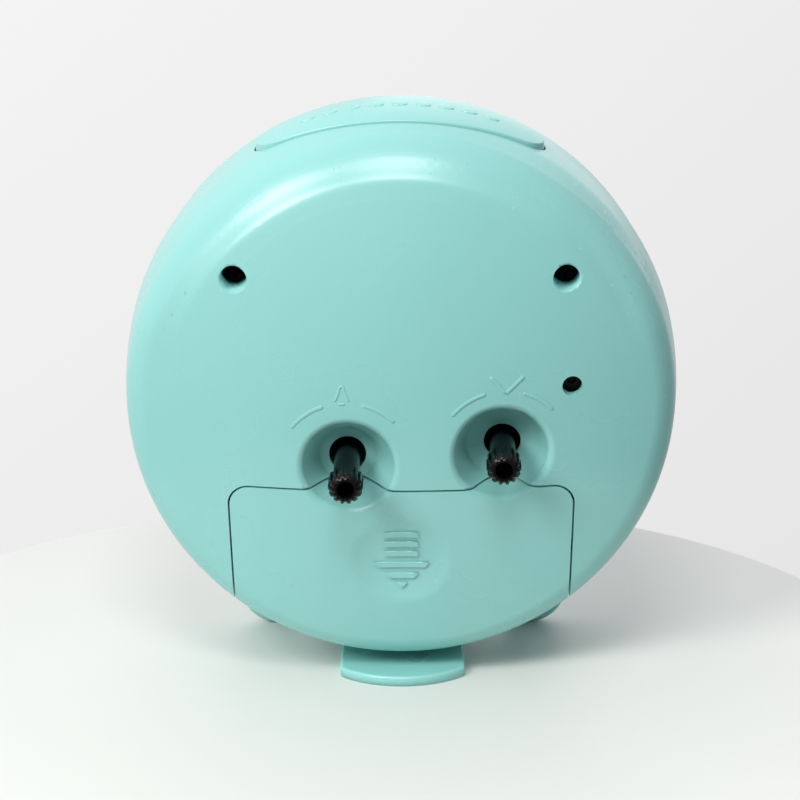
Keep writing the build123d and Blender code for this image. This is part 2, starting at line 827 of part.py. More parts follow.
def grip_ball(raise_by):
    """Sphere whose underside is the grip hollow, raised by a height above its floor."""
    crown = dome_radius - sqrt(dome_radius ** 2 - grip_radius ** 2)
    sag = grip_depth - crown
    ball_radius = (grip_radius ** 2 + sag ** 2) / (2 * sag)
    tilt = atan2(grip_z, surface_y(0, grip_z) - back_y + dome_radius)
    reach = dome_radius - grip_depth + ball_radius
    centre = Pos(0, back_y - dome_radius + reach * cos(tilt), reach * sin(tilt))
    return centre * Sphere(ball_radius - raise_by)


def on_grip_rim(edge):
    """Whether an edge runs round the grip hollow."""
    middle = edge @ 0.5
    end = edge @ 0
    return max(abs(hypot(point.X, point.Z - grip_z) - grip_radius)
               for point in (middle, end)) < grip_depth


def grip_ribs():
    """Raised arrow in the grip hollow."""
    tip_top_z = grip_z - arrow_tip_drop
    tip_z = tip_top_z - arrow_tip_length
    low_y = surface_y(0, tip_z, wall)
    ribs = []
    for rise, top_half, low_half in zip(rib_rises, rib_top_half_lengths, rib_low_half_lengths):
        top = grip_z + rise + rib_width / 2
        low = top - rib_width
        rib = make_face(Polyline((-top_half, top), (top_half, top), (low_half, low),
                                 (-low_half, low), close=True))
        ribs.append(plate(rib, low_y, back_y + 1))
    tip = make_face(Polyline((-arrow_tip_half_width, tip_top_z), (arrow_tip_half_width, tip_top_z),
                             (0, tip_z), close=True))
    ribs.append(plate(tip, low_y, back_y + 1))
    layer = rear_volume(-1) - rear_volume(grip_depth + 0.4)
    return ((Part() + ribs) & layer) - grip_ball(rib_height)


def door_hooks():
    """Hooks that hold the door under its side ledges."""
    hooks = []
    ledge_inner_x = door_half_width - ledge_width
    for side in (-1, 1):
        stem_far = ledge_inner_x - slide_gap
        stem_near = stem_far - hook_thickness
        radius_there = hypot(stem_far, hook_z)
        lowest = surface_y(radius_there + 1.0, 0, wall + ledge_thickness) - slide_gap
        low_z = hook_z - hook_length / 2
        high_z = hook_z + hook_length / 2
        stem = box(stem_near, stem_far, lowest - hook_thickness, back_y, low_z, high_z)
        toe = box(stem_near, stem_far + hook_reach, lowest - hook_thickness, lowest,
                  low_z, high_z)
        hook = (stem & rear_volume(door_thickness / 2)) + toe
        hooks.append(hook if side > 0 else mirror(hook, Plane.YZ))
    return hooks


def battery_door():
    """Door that wraps from the back round to the underside."""
    outline = door_prism(0)
    door = (rear_volume(0) - rear_volume(door_thickness)) & outline
    for x, z, floor_radius in dishes():
        body = dish_body(x, z, floor_radius, door_pocket_wall)
        door += body & outline & rear_volume(door_thickness / 2)
    door &= rear_form()
    door -= grip_ball(0)
    door = fillet(door.edges().filter_by(on_grip_rim), grip_rim_fillet)
    door += grip_ribs()
    for hook in door_hooks():
        door += hook
    return door


def bar_crown():
    """Solid of revolution under the bar's top, which is crowned from front to rear."""
    centre = (case_radius + bar_proud - bar_crown_radius, bar_crown_y)
    reach = asin((bar_half_width + bar_plan_y - bar_crown_y + 1) / bar_crown_radius)
    top = arc_about(centre, bar_crown_radius, -reach, reach)
    front = top @ 0
    rear = top @ 1
    lines = [top, Line((rear.X, rear.Y), (0, rear.Y)), Line((0, rear.Y), (0, front.Y)),
             Line((0, front.Y), (front.X, front.Y))]
    return revolve(make_face(lines), Axis.Y)


def push_bar():
    """Crowned push bar with skirt, retaining flange, spring pads and switch post."""
    cap = bar_crown() & bar_prism(0, shelf_top_z, case_radius + 5)
    outer_edges = cap.edges().filter_by(lambda edge: (edge @ 0.5).Z > shelf_top_z + 1
                                        and min((edge @ 0).Z, (edge @ 1).Z) > shelf_top_z + 1)
    cap = fillet(outer_edges, bar_edge_radius) - case_volume(bar_thickness - bar_proud)
    skirt = bar_prism(0, 0, case_radius) - bar_prism(-bar_skirt, -1, case_radius + 1)
    flange_top = wall + slide_gap + 0.1
    skirt = skirt & (case_volume(0.2) - case_volume(flange_top + bar_flange_thickness))
    flange = case_volume(flange_top) - case_volume(flange_top + bar_flange_thickness)
    flange = flange & (bar_prism(bar_flange_reach, 0, case_radius)
                       - bar_prism(-bar_skirt, -1, case_radius + 1))
    studs = []
    for side in (-1, 1):
        studs.append(post(side * spring_x, bar_y, spring_seat_z, case_radius, spring_pad_radius))
        studs.append(post(side * spring_x, bar_y, spring_seat_z - spigot_length,
                          spring_seat_z + 1, spigot_radius))
    studs.append(post(0, bar_y, plunger_top_z + slide_gap, case_radius, post_radius))
    studs = (Part() + studs) & case_volume(0)
    return cap + skirt + flange + studs


board_top_z = shelf_top_z + board_thickness
plunger_top_z = board_top_z + switch_height + plunger_proud


def bar_springs():
    """Two return springs under the push bar."""
    free = spring_seat_z - shelf_top_z
    inner = free - 2 * spring_wire_radius
    pitch = inner / spring_turns
    springs = []
    for side in (-1, 1):
        path = Helix(pitch, inner, spring_radius)
        start = Plane(path @ 0, z_dir=path % 0)
        coil = sweep(start * Circle(spring_wire_radius), path)
        springs.append(Pos(side * spring_x, bar_y, shelf_top_z + spring_wire_radius) * coil)
    return Part() + springs


def switch_board():
    """Small board on the shelf."""
    half = switch_board_length / 2
    return box(-half, half, bar_y - switch_board_width / 4, bar_y + switch_board_width * 3 / 4,
               shelf_top_z, board_top_z)


def switch_body():
    """Push switch on the board."""
    half = switch_size / 2
    body = box(-half, half, bar_y - half, bar_y + half, board_top_z, board_top_z + switch_height)
    bore_z = board_top_z + switch_height - plunger_depth - bar_travel - slide_gap
    return body - post(0, bar_y, bore_z, plunger_top_z, plunger_radius + pivot_gap)


def switch_plunger():
    """Plunger of the push switch."""
    low = board_top_z + switch_height - plunger_depth
    return post(0, bar_y, low, plunger_top_z, plunger_radius)


# ======================================================================================
# batteries, buzzer, screws
# ======================================================================================
def cell(z, side):
    """Round cell along X. side is the direction of its positive end."""
    low = side * (cell_shift_x - cell_length / 2)
    high = side * (cell_shift_x + cell_length / 2)
    tip = high + side * cell_nub_length
    can = Pos((low + high) / 2, cell_y, z) * Rot(0, 90, 0) * Cylinder(cell_radius, cell_length)
    can = fillet(can.edges().filter_by(GeomType.CIRCLE), 0.6)
    nub = Pos((high + tip) / 2, cell_y, z) * Rot(0, 90, 0) * Cylinder(cell_nub_radius,
                                                                     cell_nub_length)
    return can + nub


def contact_plate(side, z_low, z_high):
    """Sheet-metal plate against one side wall of the bay."""
    outer = side * bay_half_width
    inner = side * (bay_half_width - contact_thickness)
    half = contact_width / 2
    return box(min(outer, inner), max(outer, inner), cell_y - half + 0.5, cell_y + half - 1,
               z_low, z_high)


def contact_dimple(side, z):
    """Raised dimple that meets the positive end of a cell."""
    tip = cell_shift_x + cell_length / 2 + cell_nub_length + cell_end_gap
    base = bay_half_width - contact_thickness / 2
    dimple = Pos(side * (tip + base) / 2, cell_y, z) * Rot(0, 90, 0) * Cylinder(cell_nub_radius,
                                                                              base - tip)
    return dimple


def contact_coil(side, z):
    """Coil spring that meets the negative end of a cell."""
    tip = cell_length / 2 - cell_shift_x + cell_end_gap + contact_wire_radius
    base = bay_half_width - contact_thickness - contact_wire_radius / 2
    height = base - tip
    path = Helix(height / contact_coil_turns, height, contact_coil_radius)
    start = Plane(path @ 0, z_dir=path % 0)
    coil = sweep(start * Circle(contact_wire_radius), path)
    turned = Rot(0, 90, 0) * coil
    placed = Pos(tip, cell_y, z) * turned
    return placed if side > 0 else mirror(placed, Plane.YZ)


def contact_bridge():
    """Plate that joins the two cells in series."""
    half = contact_width / 2
    bridge = contact_plate(-1, plate_low_z, upper_cell_z + half)
    return bridge + contact_dimple(-1, lower_cell_z) + contact_coil(-1, upper_cell_z)


def contact_positive():
    """Plate at the positive end of the upper cell."""
    half = contact_width / 2
    return contact_plate(1, upper_cell_z - half, upper_cell_z + half) + contact_dimple(
        1, upper_cell_z)


def contact_negative():
    """Plate and coil at the negative end of the lower cell."""
    half = contact_width / 2
    return contact_plate(1, plate_low_z, lower_cell_z + half) + contact_coil(
        1, lower_cell_z)


def buzzer():
    """Round sounder behind the sound hole."""
    can = rod(sound_hole_x, sound_hole_z, buzzer_rear_y - buzzer_height, buzzer_rear_y,
              buzzer_radius)
    return can - rod(sound_hole_x, sound_hole_z, buzzer_rear_y - buzzer_port_depth,
                     buzzer_rear_y + 1, buzzer_port_radius)


def screw(x, z, seat_y, tip_y):
    """Pan-head cross-slot screw, head towards +Y."""
    top_y = seat_y + screw_head_height
    head = rod(x, z, seat_y, top_y, screw_head_radius)
    head = fillet(head.edges().group_by(Axis.Y)[-1], screw_head_height / 3)
    shank = rod(x, z, tip_y, seat_y + 0.5, screw_radius)
    length = screw_slot_length / 2
    width = screw_slot_width / 2
    slot_y = top_y - screw_slot_depth
    slots = box(x - length, x + length, slot_y, top_y + 1, z - width, z + width)
    slots += box(x - width, x + width, slot_y, top_y + 1, z - length, z + length)
    return head + shank - slots


def case_screws():
    """Four case screws, two in deep bores and two in the bay floor."""
    screws = []
    for side in (-1, 1):
        screws.append(screw(side * screw_hole_x, screw_hole_z, screw_seat_y, screw_tip_y))
        screws.append(screw(side * lower_screw_x, lower_screw_z, bay_floor_y,
                            lower_screw_tip_y))
    return Part() + screws


# ======================================================================================
# movement
# ======================================================================================
motion_x = motion_distance * cos(radians(motion_angle_deg))
motion_z = motion_distance * sin(radians(motion_angle_deg))
train_distance = (second_wheel_teeth + train_pinion_teeth) * train_module / 2
rotor_distance = train_distance + (train_wheel_teeth + train_pinion_teeth) * train_module / 2
train_x = train_distance * cos(radians(train_angle_deg))
train_z = train_distance * sin(radians(train_angle_deg))
rotor_x = rotor_distance * cos(radians(train_angle_deg))
rotor_z = rotor_distance * sin(radians(train_angle_deg))
alarm_module = 2 * hypot(alarm_x, alarm_z) / (alarm_wheel_teeth + alarm_pinion_teeth)
time_module = 2 * hypot(time_x, time_z) / (minute_wheel_teeth + time_pinion_teeth)
cannon_module = 2 * motion_distance / (cannon_teeth + motion_wheel_teeth)
hour_module = 2 * motion_distance / (motion_pinion_teeth + hour_wheel_teeth)
plate_rear_y = diaphragm_rear_y + movement_wall
cover_inner_y = movement_rear_y - movement_wall


def movement_plate():
    """Front plate of the movement, with bearing holes."""
    base = rounded_plate(movement_left_x, movement_right_x, movement_low_z, movement_top_z,
                         diaphragm_rear_y, plate_rear_y, movement_corner_radius)
    base -= rod(0, 0, front_y, back_y, alarm_tube_radius + pivot_gap)
    for x, z in ((alarm_x, alarm_z), (time_x, time_z)):
        base -= rod(x, z, front_y, back_y, setting_pivot_radius + pivot_gap)
    base -= rod(motion_x, motion_z, front_y, back_y, motion_shaft_radius + pivot_gap)
    return base


def movement_cover():
    """Stepped rear cover of the movement, with bearing posts."""
    deep = rounded_plate(movement_left_x, movement_right_x, movement_step_z, movement_top_z,
                         plate_rear_y, movement_rear_y, movement_corner_radius)
    low = rounded_plate(movement_left_x, movement_right_x, movement_low_z, movement_top_z,
                        plate_rear_y, movement_step_y, movement_corner_radius)
    inset = movement_wall
    inner_radius = movement_corner_radius - inset
    deep_room = rounded_plate(movement_left_x + inset, movement_right_x - inset,
                              movement_step_z + inset, movement_top_z - inset,
                              plate_rear_y - 1, cover_inner_y, inner_radius)
    low_room = rounded_plate(movement_left_x + inset, movement_right_x - inset,
                             movement_low_z + inset, movement_top_z - inset,
                             plate_rear_y - 1, movement_step_y - 0.8, inner_radius)
    cover = deep + low - deep_room - low_room
    for x, z, radius, low_y in ((0, 0, second_arbor_radius, rotor_wheel_y + 0.1),
                                (train_x, train_z, train_shaft_radius, rotor_wheel_y + 3.2),
                                (rotor_x, rotor_z, train_shaft_radius, rotor_wheel_y + 3.2)):
        cover += rod(x, z, low_y, cover_inner_y + 0.5, radius + pivot_gap + pivot_post_wall)
        cover -= rod(x, z, low_y - 1, cover_inner_y, radius + pivot_gap)
    for x, z in ((alarm_x, alarm_z), (time_x, time_z)):
        cover -= rod(x, z, cover_inner_y - 1, movement_rear_y + 1, setting_shaft_radius + pivot_gap)
    return cover


def movement_bridge():
    """Middle plate that carries the rear ends of the motion works and the train."""
    bridge = rounded_plate(bridge_left_x, bridge_right_x, bridge_low_z, bridge_top_z,
                           bridge_y, bridge_y + bridge_thickness, 1.5)
    bridge -= rod(0, 0, front_y, back_y, second_arbor_radius + 3 * pivot_gap)
    bridge -= rod(motion_x, motion_z, front_y, back_y, motion_shaft_radius + pivot_gap)
    for x, z in ((train_x, train_z), (rotor_x, rotor_z)):
        bridge -= rod(x, z, front_y, back_y, train_shaft_radius + pivot_gap)
    inset = 1.4
    corners = ((bridge_left_x + inset, bridge_top_z - inset),
               (bridge_right_x - inset, bridge_low_z + inset))
    for x, z in corners:
        bridge += rod(x, z, plate_rear_y, bridge_y + bridge_thickness / 2, bridge_post_radius)
    return bridge


def alarm_wheel():
    """Alarm wheel with its tube."""
    turn = direction_deg(0, 0, alarm_x, alarm_z)
    wheel = gear(0, 0, alarm_wheel_y, alarm_wheel_teeth, alarm_module, turn)
    tube_end = alarm_hand_y - tube_end_proud
    sleeve = rod(0, 0, tube_end, alarm_wheel_y + wheel_thickness, alarm_tube_radius)
    return wheel + sleeve - rod(0, 0, front_y, back_y, hour_tube_radius + pivot_gap)


def hour_wheel():
    """Hour wheel with its tube."""
    turn = direction_deg(0, 0, motion_x, motion_z)
    wheel = gear(0, 0, hour_wheel_y, hour_wheel_teeth, hour_module, turn)
    tube_end = hour_hand_y - tube_end_proud
    sleeve = rod(0, 0, tube_end, hour_wheel_y + wheel_thickness, hour_tube_radius)
    return wheel + sleeve - rod(0, 0, front_y, back_y, minute_tube_radius + pivot_gap)


def minute_wheel():
    """Minute wheel, cannon pinion and their tube."""
    wheel = gear(0, 0, minute_wheel_y, minute_wheel_teeth, time_module,
                 direction_deg(0, 0, time_x, time_z))
    cannon = gear(0, 0, motion_wheel_y, cannon_teeth, cannon_module,
                  direction_deg(0, 0, motion_x, motion_z))
    tube_end = minute_hand_y - tube_end_proud
    sleeve = rod(0, 0, tube_end, motion_wheel_y + wheel_thickness, minute_tube_radius)
    return wheel + cannon + sleeve - rod(0, 0, front_y, back_y, second_arbor_radius + pivot_gap)


def motion_wheel():
    """Motion wheel and pinion between minute and hour wheels."""
    towards = direction_deg(motion_x, motion_z, 0, 0)
    wheel = gear(motion_x, motion_z, motion_wheel_y, motion_wheel_teeth, cannon_module,
                 meshing_turn(towards, motion_wheel_teeth))
    pinion = gear(motion_x, motion_z, hour_wheel_y, motion_pinion_teeth, hour_module,
                  meshing_turn(towards, motion_pinion_teeth))
    shaft = rod(motion_x, motion_z, plate_rear_y - movement_wall / 2,
                bridge_y + bridge_thickness, motion_shaft_radius)
    return wheel + pinion + shaft


def second_wheel():
    """Second wheel and the arbor of the second hand."""
    wheel = gear(0, 0, second_wheel_y, second_wheel_teeth, train_module, train_angle_deg)
    arbor = rod(0, 0, second_hand_y - tube_end_proud, rotor_wheel_y + 1.6, second_arbor_radius)
    return wheel + arbor


def train_wheel():
    """Wheel between rotor and second wheel."""
    pinion = gear(train_x, train_z, second_wheel_y, train_pinion_teeth, train_module,
                  meshing_turn(train_angle_deg + 180, train_pinion_teeth))
    wheel = gear(train_x, train_z, rotor_wheel_y, train_wheel_teeth, train_module, train_angle_deg)
    shaft = rod(train_x, train_z, bridge_y + 0.1, rotor_wheel_y + 4.2, train_shaft_radius)
    return pinion + wheel + shaft


def step_rotor():
    """Magnet rotor of the stepping motor."""
    pinion = gear(rotor_x, rotor_z, rotor_wheel_y, train_pinion_teeth, train_module,
                  meshing_turn(train_angle_deg + 180, train_pinion_teeth))
    magnet = rod(rotor_x, rotor_z, rotor_magnet_y, rotor_magnet_y + rotor_magnet_height,
                 rotor_magnet_radius)
    shaft = rod(rotor_x, rotor_z, bridge_y + 0.1, rotor_wheel_y + 4.2, train_shaft_radius)
    return pinion + magnet + shaft


def stator():
    """Stator ring, its two arms and the coil core."""
    top_y = stator_y + stator_thickness
    ring = rod(rotor_x, rotor_z, stator_y, top_y, stator_ring_radius)
    core_half = stator_arm_width / 2
    low = rotor_z - core_half
    left = box(stator_left_x, stator_left_x + stator_arm_width, stator_y, top_y,
               low, coil_z + core_half)
    right = box(stator_right_x - stator_arm_width, stator_right_x, stator_y, top_y,
                low, coil_z + core_half)
    link = box(stator_left_x, stator_right_x, stator_y, top_y, low, rotor_z + core_half)
    core = box(stator_left_x, stator_right_x, stator_y, top_y,
               coil_z - core_half, coil_z + core_half)
    body = ring + left + right + link + core
    body -= rod(rotor_x, rotor_z, stator_y - 1, top_y + 1, stator_hole_radius)
    return body - rod(train_x, train_z, stator_y - 1, top_y + 1, train_shaft_radius + 0.5)


def motor_coil():
    """Winding on the coil core."""
    left = stator_left_x + stator_arm_width + coil_end_gap
    right = stator_right_x - stator_arm_width - coil_end_gap
    middle_y = stator_y + stator_thickness / 2
    place = Pos((left + right) / 2, middle_y, coil_z) * Rot(0, 90, 0)
    winding = Cylinder(coil_radius, right - left) - Cylinder(coil_bore_radius, right - left + 1)
    flanges = []
    for end in (-1, 1):
        rim = Cylinder(coil_radius + 0.4, 0.6) - Cylinder(coil_bore_radius, 2)
        flanges.append(Pos(0, 0, end * ((right - left) / 2 - 0.3)) * rim)
    return place * (winding + flanges)


def circuit_board():
    """Drive circuit inside the movement cover."""
    return box(circuit_left_x, circuit_right_x, cover_inner_y - circuit_thickness, cover_inner_y,
               circuit_low_z, circuit_top_z)


def setting_shaft(x, z, pinion_y, teeth, module):
    """Setting shaft with its pinion and front pivot."""
    turn = meshing_turn(direction_deg(x, z, 0, 0), teeth)
    pinion = gear(x, z, pinion_y, teeth, module, turn)
    shaft = rod(x, z, pinion_y, knob_root_y + knob_socket_depth - seat_gap, setting_shaft_radius)
    pivot = rod(x, z, plate_rear_y - movement_wall / 2, pinion_y + 0.1, setting_pivot_radius)
    return pinion + shaft + pivot


def knob_head(neck_radius, head_radius, nose_radius, end_y):
    """Turned head of a knob with a rounded shoulder and a rounded nose."""
    head_y = end_y - knob_head_length
    neck_y = head_y - knob_shoulder_length
    nose_y = end_y - knob_nose_length
    shoulder = head_radius - neck_radius
    nose = head_radius - nose_radius
    shoulder_arc = ThreePointArc(
        (neck_radius, neck_y),
        (neck_radius + shoulder * sin(pi / 4), head_y - knob_shoulder_length * cos(pi / 4)),
        (head_radius, head_y))
    nose_arc = ThreePointArc(
        (head_radius, nose_y),
        (nose_radius + nose * cos(pi / 4), nose_y + knob_nose_length * sin(pi / 4)),
        (nose_radius, end_y))
    lines = [Line((0, neck_y), (neck_radius, neck_y)), shoulder_arc,
             Line((head_radius, head_y), (head_radius, nose_y)), nose_arc,
             Line((nose_radius, end_y), (0, end_y)), Line((0, end_y), (0, neck_y))]
    return revolve(make_face(lines), Axis.Y)


def setting_knob(x, z, end_y):
    """Long knob with a rounded, toothed head and a blind hole in its end."""
    neck_y = end_y - knob_head_length - knob_shoulder_length
    knob = rod(0, 0, knob_root_y, neck_y + knob_shoulder_length, knob_stem_radius)
    knob += knob_head(knob_stem_radius, knob_head_radius - knob_tooth_depth, knob_nose_radius,
                      end_y)
    crest = knob_head(knob_stem_radius - knob_tooth_end_depth, knob_head_radius,
                      knob_nose_radius + knob_tooth_end_depth, end_y)
    inner = (knob_end_bore_radius + knob_nose_radius) / 2
    fin = box(inner, knob_head_radius + 1, neck_y, end_y,
              -knob_tooth_width / 2, knob_tooth_width / 2)
    teeth = []
    for index in range(knob_teeth):
        teeth.append(crest & (Rot(0, 360 * index / knob_teeth, 0) * fin))
    knob += teeth
    knob -= rod(0, 0, end_y - knob_end_bore_depth, end_y + 1, knob_end_bore_radius)
    knob -= rod(0, 0, knob_root_y - 1, knob_root_y + knob_socket_depth,
                setting_shaft_radius + push_fit)
    return Pos(x, 0, z) * knob


# ======================================================================================
# hands
# ======================================================================================
def blade(length, width, tail, hub_radius, bore_radius, front, turn_deg):
    """Hand with a tapering blade, a round hub and an optional tail."""
    outline = make_face(Polyline((-width / 2, -tail), (width / 2, -tail),
                                 (width / 2, length * 0.55), (width / 5, length),
                                 (-width / 5, length), (-width / 2, length * 0.55), close=True))
    shape = plate(outline, front, front + hand_thickness)
    shape += rod(0, 0, front, front + hand_thickness, hub_radius)
    shape -= rod(0, 0, front_y, back_y, bore_radius)
    return Rot(0, turn_deg, 0) * shape


def hand(kind):
    """One of the four hands."""
    sizes = {
        "alarm": (alarm_hand_length, alarm_hand_width, alarm_tube_radius, alarm_hand_y,
                  alarm_hand_deg, 0.0),
        "hour": (hour_hand_length, hour_hand_width, hour_tube_radius, hour_hand_y,
                 hour_hand_deg, 0.0),
        "minute": (minute_hand_length, minute_hand_width, minute_tube_radius, minute_hand_y,
                   minute_hand_deg, 0.0),
        "second": (second_hand_length, second_hand_width, second_arbor_radius, second_hand_y,
                   second_hand_deg, second_hand_tail),
    }
    length, width, bore, front, turn, tail = sizes[kind]
    return blade(length, width, tail, bore + hand_hub_margin, bore + push_fit, front, turn)


# ======================================================================================
# write the parts
# ======================================================================================
leaned = {
    "lens": lens(),
    "bezel_ring": bezel_ring(),
    "dial_ring": dial_ring(),
    "dial": dial(),
    "diffuser": diffuser(),
    "light_board": light_board(),
    "light_diodes": light_diodes(),
    "rear_shell": rear_shell(),
    "battery_door": battery_door(),
    "push_bar": push_bar(),
    "bar_springs": bar_springs(),
    "switch_board": switch_board(),
    "switch_body": switch_body(),
    "switch_plunger": switch_plunger(),
    "cell_upper": cell(upper_cell_z, 1),
    "cell_lower": cell(lower_cell_z, -1),
    "contact_bridge": contact_bridge(),
    "contact_positive": contact_positive(),
    "contact_negative": contact_negative(),
    "buzzer": buzzer(),
    "case_screws": case_screws(),
    "movement_plate": movement_plate(),
    "movement_cover": movement_cover(),
    "movement_bridge": movement_bridge(),
    "alarm_wheel": alarm_wheel(),
    "hour_wheel": hour_wheel(),
    "minute_wheel": minute_wheel(),
    "motion_wheel": motion_wheel(),
    "second_wheel": second_wheel(),
    "train_wheel": train_wheel(),
    "step_rotor": step_rotor(),
    "stator": stator(),
    "motor_coil": motor_coil(),
    "circuit_board": circuit_board(),
    "alarm_shaft": setting_shaft(alarm_x, alarm_z, alarm_wheel_y, alarm_pinion_teeth,
                                 alarm_module),
    "time_shaft": setting_shaft(time_x, time_z, minute_wheel_y, time_pinion_teeth, time_module),
    "alarm_knob": setting_knob(alarm_x, alarm_z, alarm_knob_end_y),
    "time_knob": setting_knob(time_x, time_z, time_knob_end_y),
    "alarm_hand": hand("alarm"),
    "hour_hand": hand("hour"),
    "minute_hand": hand("minute"),
    "second_hand": hand("second"),
}

os.makedirs("parts", exist_ok=True)
export_step(front_housing(), "parts/front_housing.step")
for node, shape in leaned.items():
    export_step(stand(shape), f"parts/{node}.step")
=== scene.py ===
import logging
import math
from abc import ABC, abstractmethod
from collections.abc import Callable, Iterable, Mapping
from dataclasses import dataclass
from enum import Enum

import bmesh
import bpy
import numpy as np
from mathutils import Matrix


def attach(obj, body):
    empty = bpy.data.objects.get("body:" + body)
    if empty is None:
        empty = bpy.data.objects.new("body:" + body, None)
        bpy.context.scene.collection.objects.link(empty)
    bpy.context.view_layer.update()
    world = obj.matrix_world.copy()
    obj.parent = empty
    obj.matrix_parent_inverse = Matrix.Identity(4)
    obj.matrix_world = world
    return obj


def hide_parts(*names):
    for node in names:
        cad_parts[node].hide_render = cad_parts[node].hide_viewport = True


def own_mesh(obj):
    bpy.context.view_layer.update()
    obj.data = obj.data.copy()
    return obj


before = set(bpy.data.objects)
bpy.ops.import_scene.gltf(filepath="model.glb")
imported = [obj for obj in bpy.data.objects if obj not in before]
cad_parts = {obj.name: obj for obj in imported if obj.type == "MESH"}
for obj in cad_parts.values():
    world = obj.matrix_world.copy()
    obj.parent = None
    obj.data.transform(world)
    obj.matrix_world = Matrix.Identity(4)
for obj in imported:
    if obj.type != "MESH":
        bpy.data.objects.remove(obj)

logging.basicConfig(level=logging.INFO, format="%(message)s")
LOG = logging.getLogger("bedside_clock")

MM = 0.001                      # one millimetre in scene units

Socket = bpy.types.NodeSocket
Point = tuple[float, float, float]
Shape = tuple[np.ndarray, list[tuple[int, ...]]]    # points in metres, corners of each face


class Body(Enum):
    """Moving bodies of the clock that new pieces ride on."""

    CASE = "case"
    BAR = "bar"
    DOOR = "door"
    HOURS = "hours"
    MINUTES = "minutes"
    SECONDS = "seconds"
    ALARM = "alarm"


# ---- colour and node helpers
def linear(code: str) -> tuple[float, float, float, float]:
    """Turn an sRGB hex value into linear colour.

    Args:
        code: Six hex digits after a hash.

    Returns:
        Red, green, blue and alpha, linear.
    """
    channels = [int(code[start:start + 2], 16) / 255 for start in (1, 3, 5)]
    lit = [c / 12.92 if c <= 0.04045 else ((c + 0.055) / 1.055) ** 2.4 for c in channels]
    return (lit[0], lit[1], lit[2], 1.0)


def per_metre(spacing_mm: float) -> float:
    """Texture scale that gives one feature in the stated number of millimetres."""
    return 1.0 / (spacing_mm * MM)


class Nodes:
    """Node tree with a short call for each node that the finishes and the room share."""

    def __init__(self, owner: bpy.types.Material | bpy.types.World) -> None:
        """Empty the owner's node tree."""
        owner.use_nodes = True
        self.tree = owner.node_tree
        self.tree.nodes.clear()

    def add(self, kind: str, values: Mapping[str, object] | None = None) -> bpy.types.Node:
        """Add one node.

        Args:
            kind: Blender's name of the node type, without ShaderNode.
            values: By input name, input number or attribute: a socket to link, an sRGB hex
                colour for an input, or a plain value.

        Returns:
            The new node.
        """
        node = self.tree.nodes.new("ShaderNode" + kind)
        for key, value in (values or {}).items():
            place = int(key) if key.isdigit() else key
            if isinstance(value, Socket):
                self.tree.links.new(value, node.inputs[place])
            elif key.isdigit() or key in node.inputs:
                coloured = isinstance(value, str)
                node.inputs[place].default_value = linear(value) if coloured else value
            else:
                setattr(node, key, value)
        return node

    def ramp(self, source: Socket, start: tuple[float, float] = (0.0, 1.0),
             to: tuple[float, float] = (0.0, 1.0)) -> Socket:
        """Carry a value from one range to another."""
        return self.add("MapRange", {"Value": source, "From Min": start[0], "From Max": start[1],
                                     "To Min": to[0], "To Max": to[1]}).outputs["Result"]

    def calculate(self, operation: str, first: Socket, second: Socket | float) -> Socket:
        """Result of one operation on two values."""
        return self.add("Math", {"operation": operation, "0": first,
                                 "1": second}).outputs["Value"]


class Skin(Nodes):
    """Node tree of a material, with the patterns and the shader that finishes share."""

    def __init__(self, name: str) -> None:
        """Start an empty material.

        Args:
            name: Name of the real material and its process.
        """
        self.material = bpy.data.materials.new(name)
        super().__init__(self.material)
        self.point = self.add("TexCoord").outputs["Object"]

    def noise(self, spacing_mm: float, detail: float, point: Socket | None = None) -> Socket:
        """Noise with one feature in the stated number of millimetres."""
        source = self.point if point is None else point
        return self.add("TexNoise", {"Scale": per_metre(spacing_mm), "Detail": detail,
                                     "Vector": source}).outputs["Fac"]

    def mix(self, share: Socket, none: str | Socket, full: str | Socket) -> Socket:
        """Colour between two, by its share of the second."""
        return self.add("Mix", {"data_type": "RGBA", "0": share, "6": none,
                                "7": full}).outputs[2]

    def bump(self, height: Socket, strength: float, depth_mm: float) -> Socket:
        """Normal of a fine relief."""
        return self.add("Bump", {"Strength": strength, "Distance": depth_mm * MM,
                                 "Height": height}).outputs["Normal"]

    def surface(self, colour: Socket | str, values: Mapping[str, object]) -> None:
        """Put a principled shader with its colour and its other values on the surface."""
        shader = self.add("BsdfPrincipled", {"Base Color": colour, **values})
        self.add("OutputMaterial", {"Surface": shader.outputs["BSDF"]})


# ---- finishes
class Finish(ABC):
    """Finish of one real material."""

    name: str

    def build(self) -> bpy.types.Material:
        """Make the material."""
        skin = Skin(self.name)
        self.draw(skin)
        return skin.material

    @abstractmethod
    def draw(self, skin: Skin) -> None:
        """Add the finish's nodes to an empty material."""


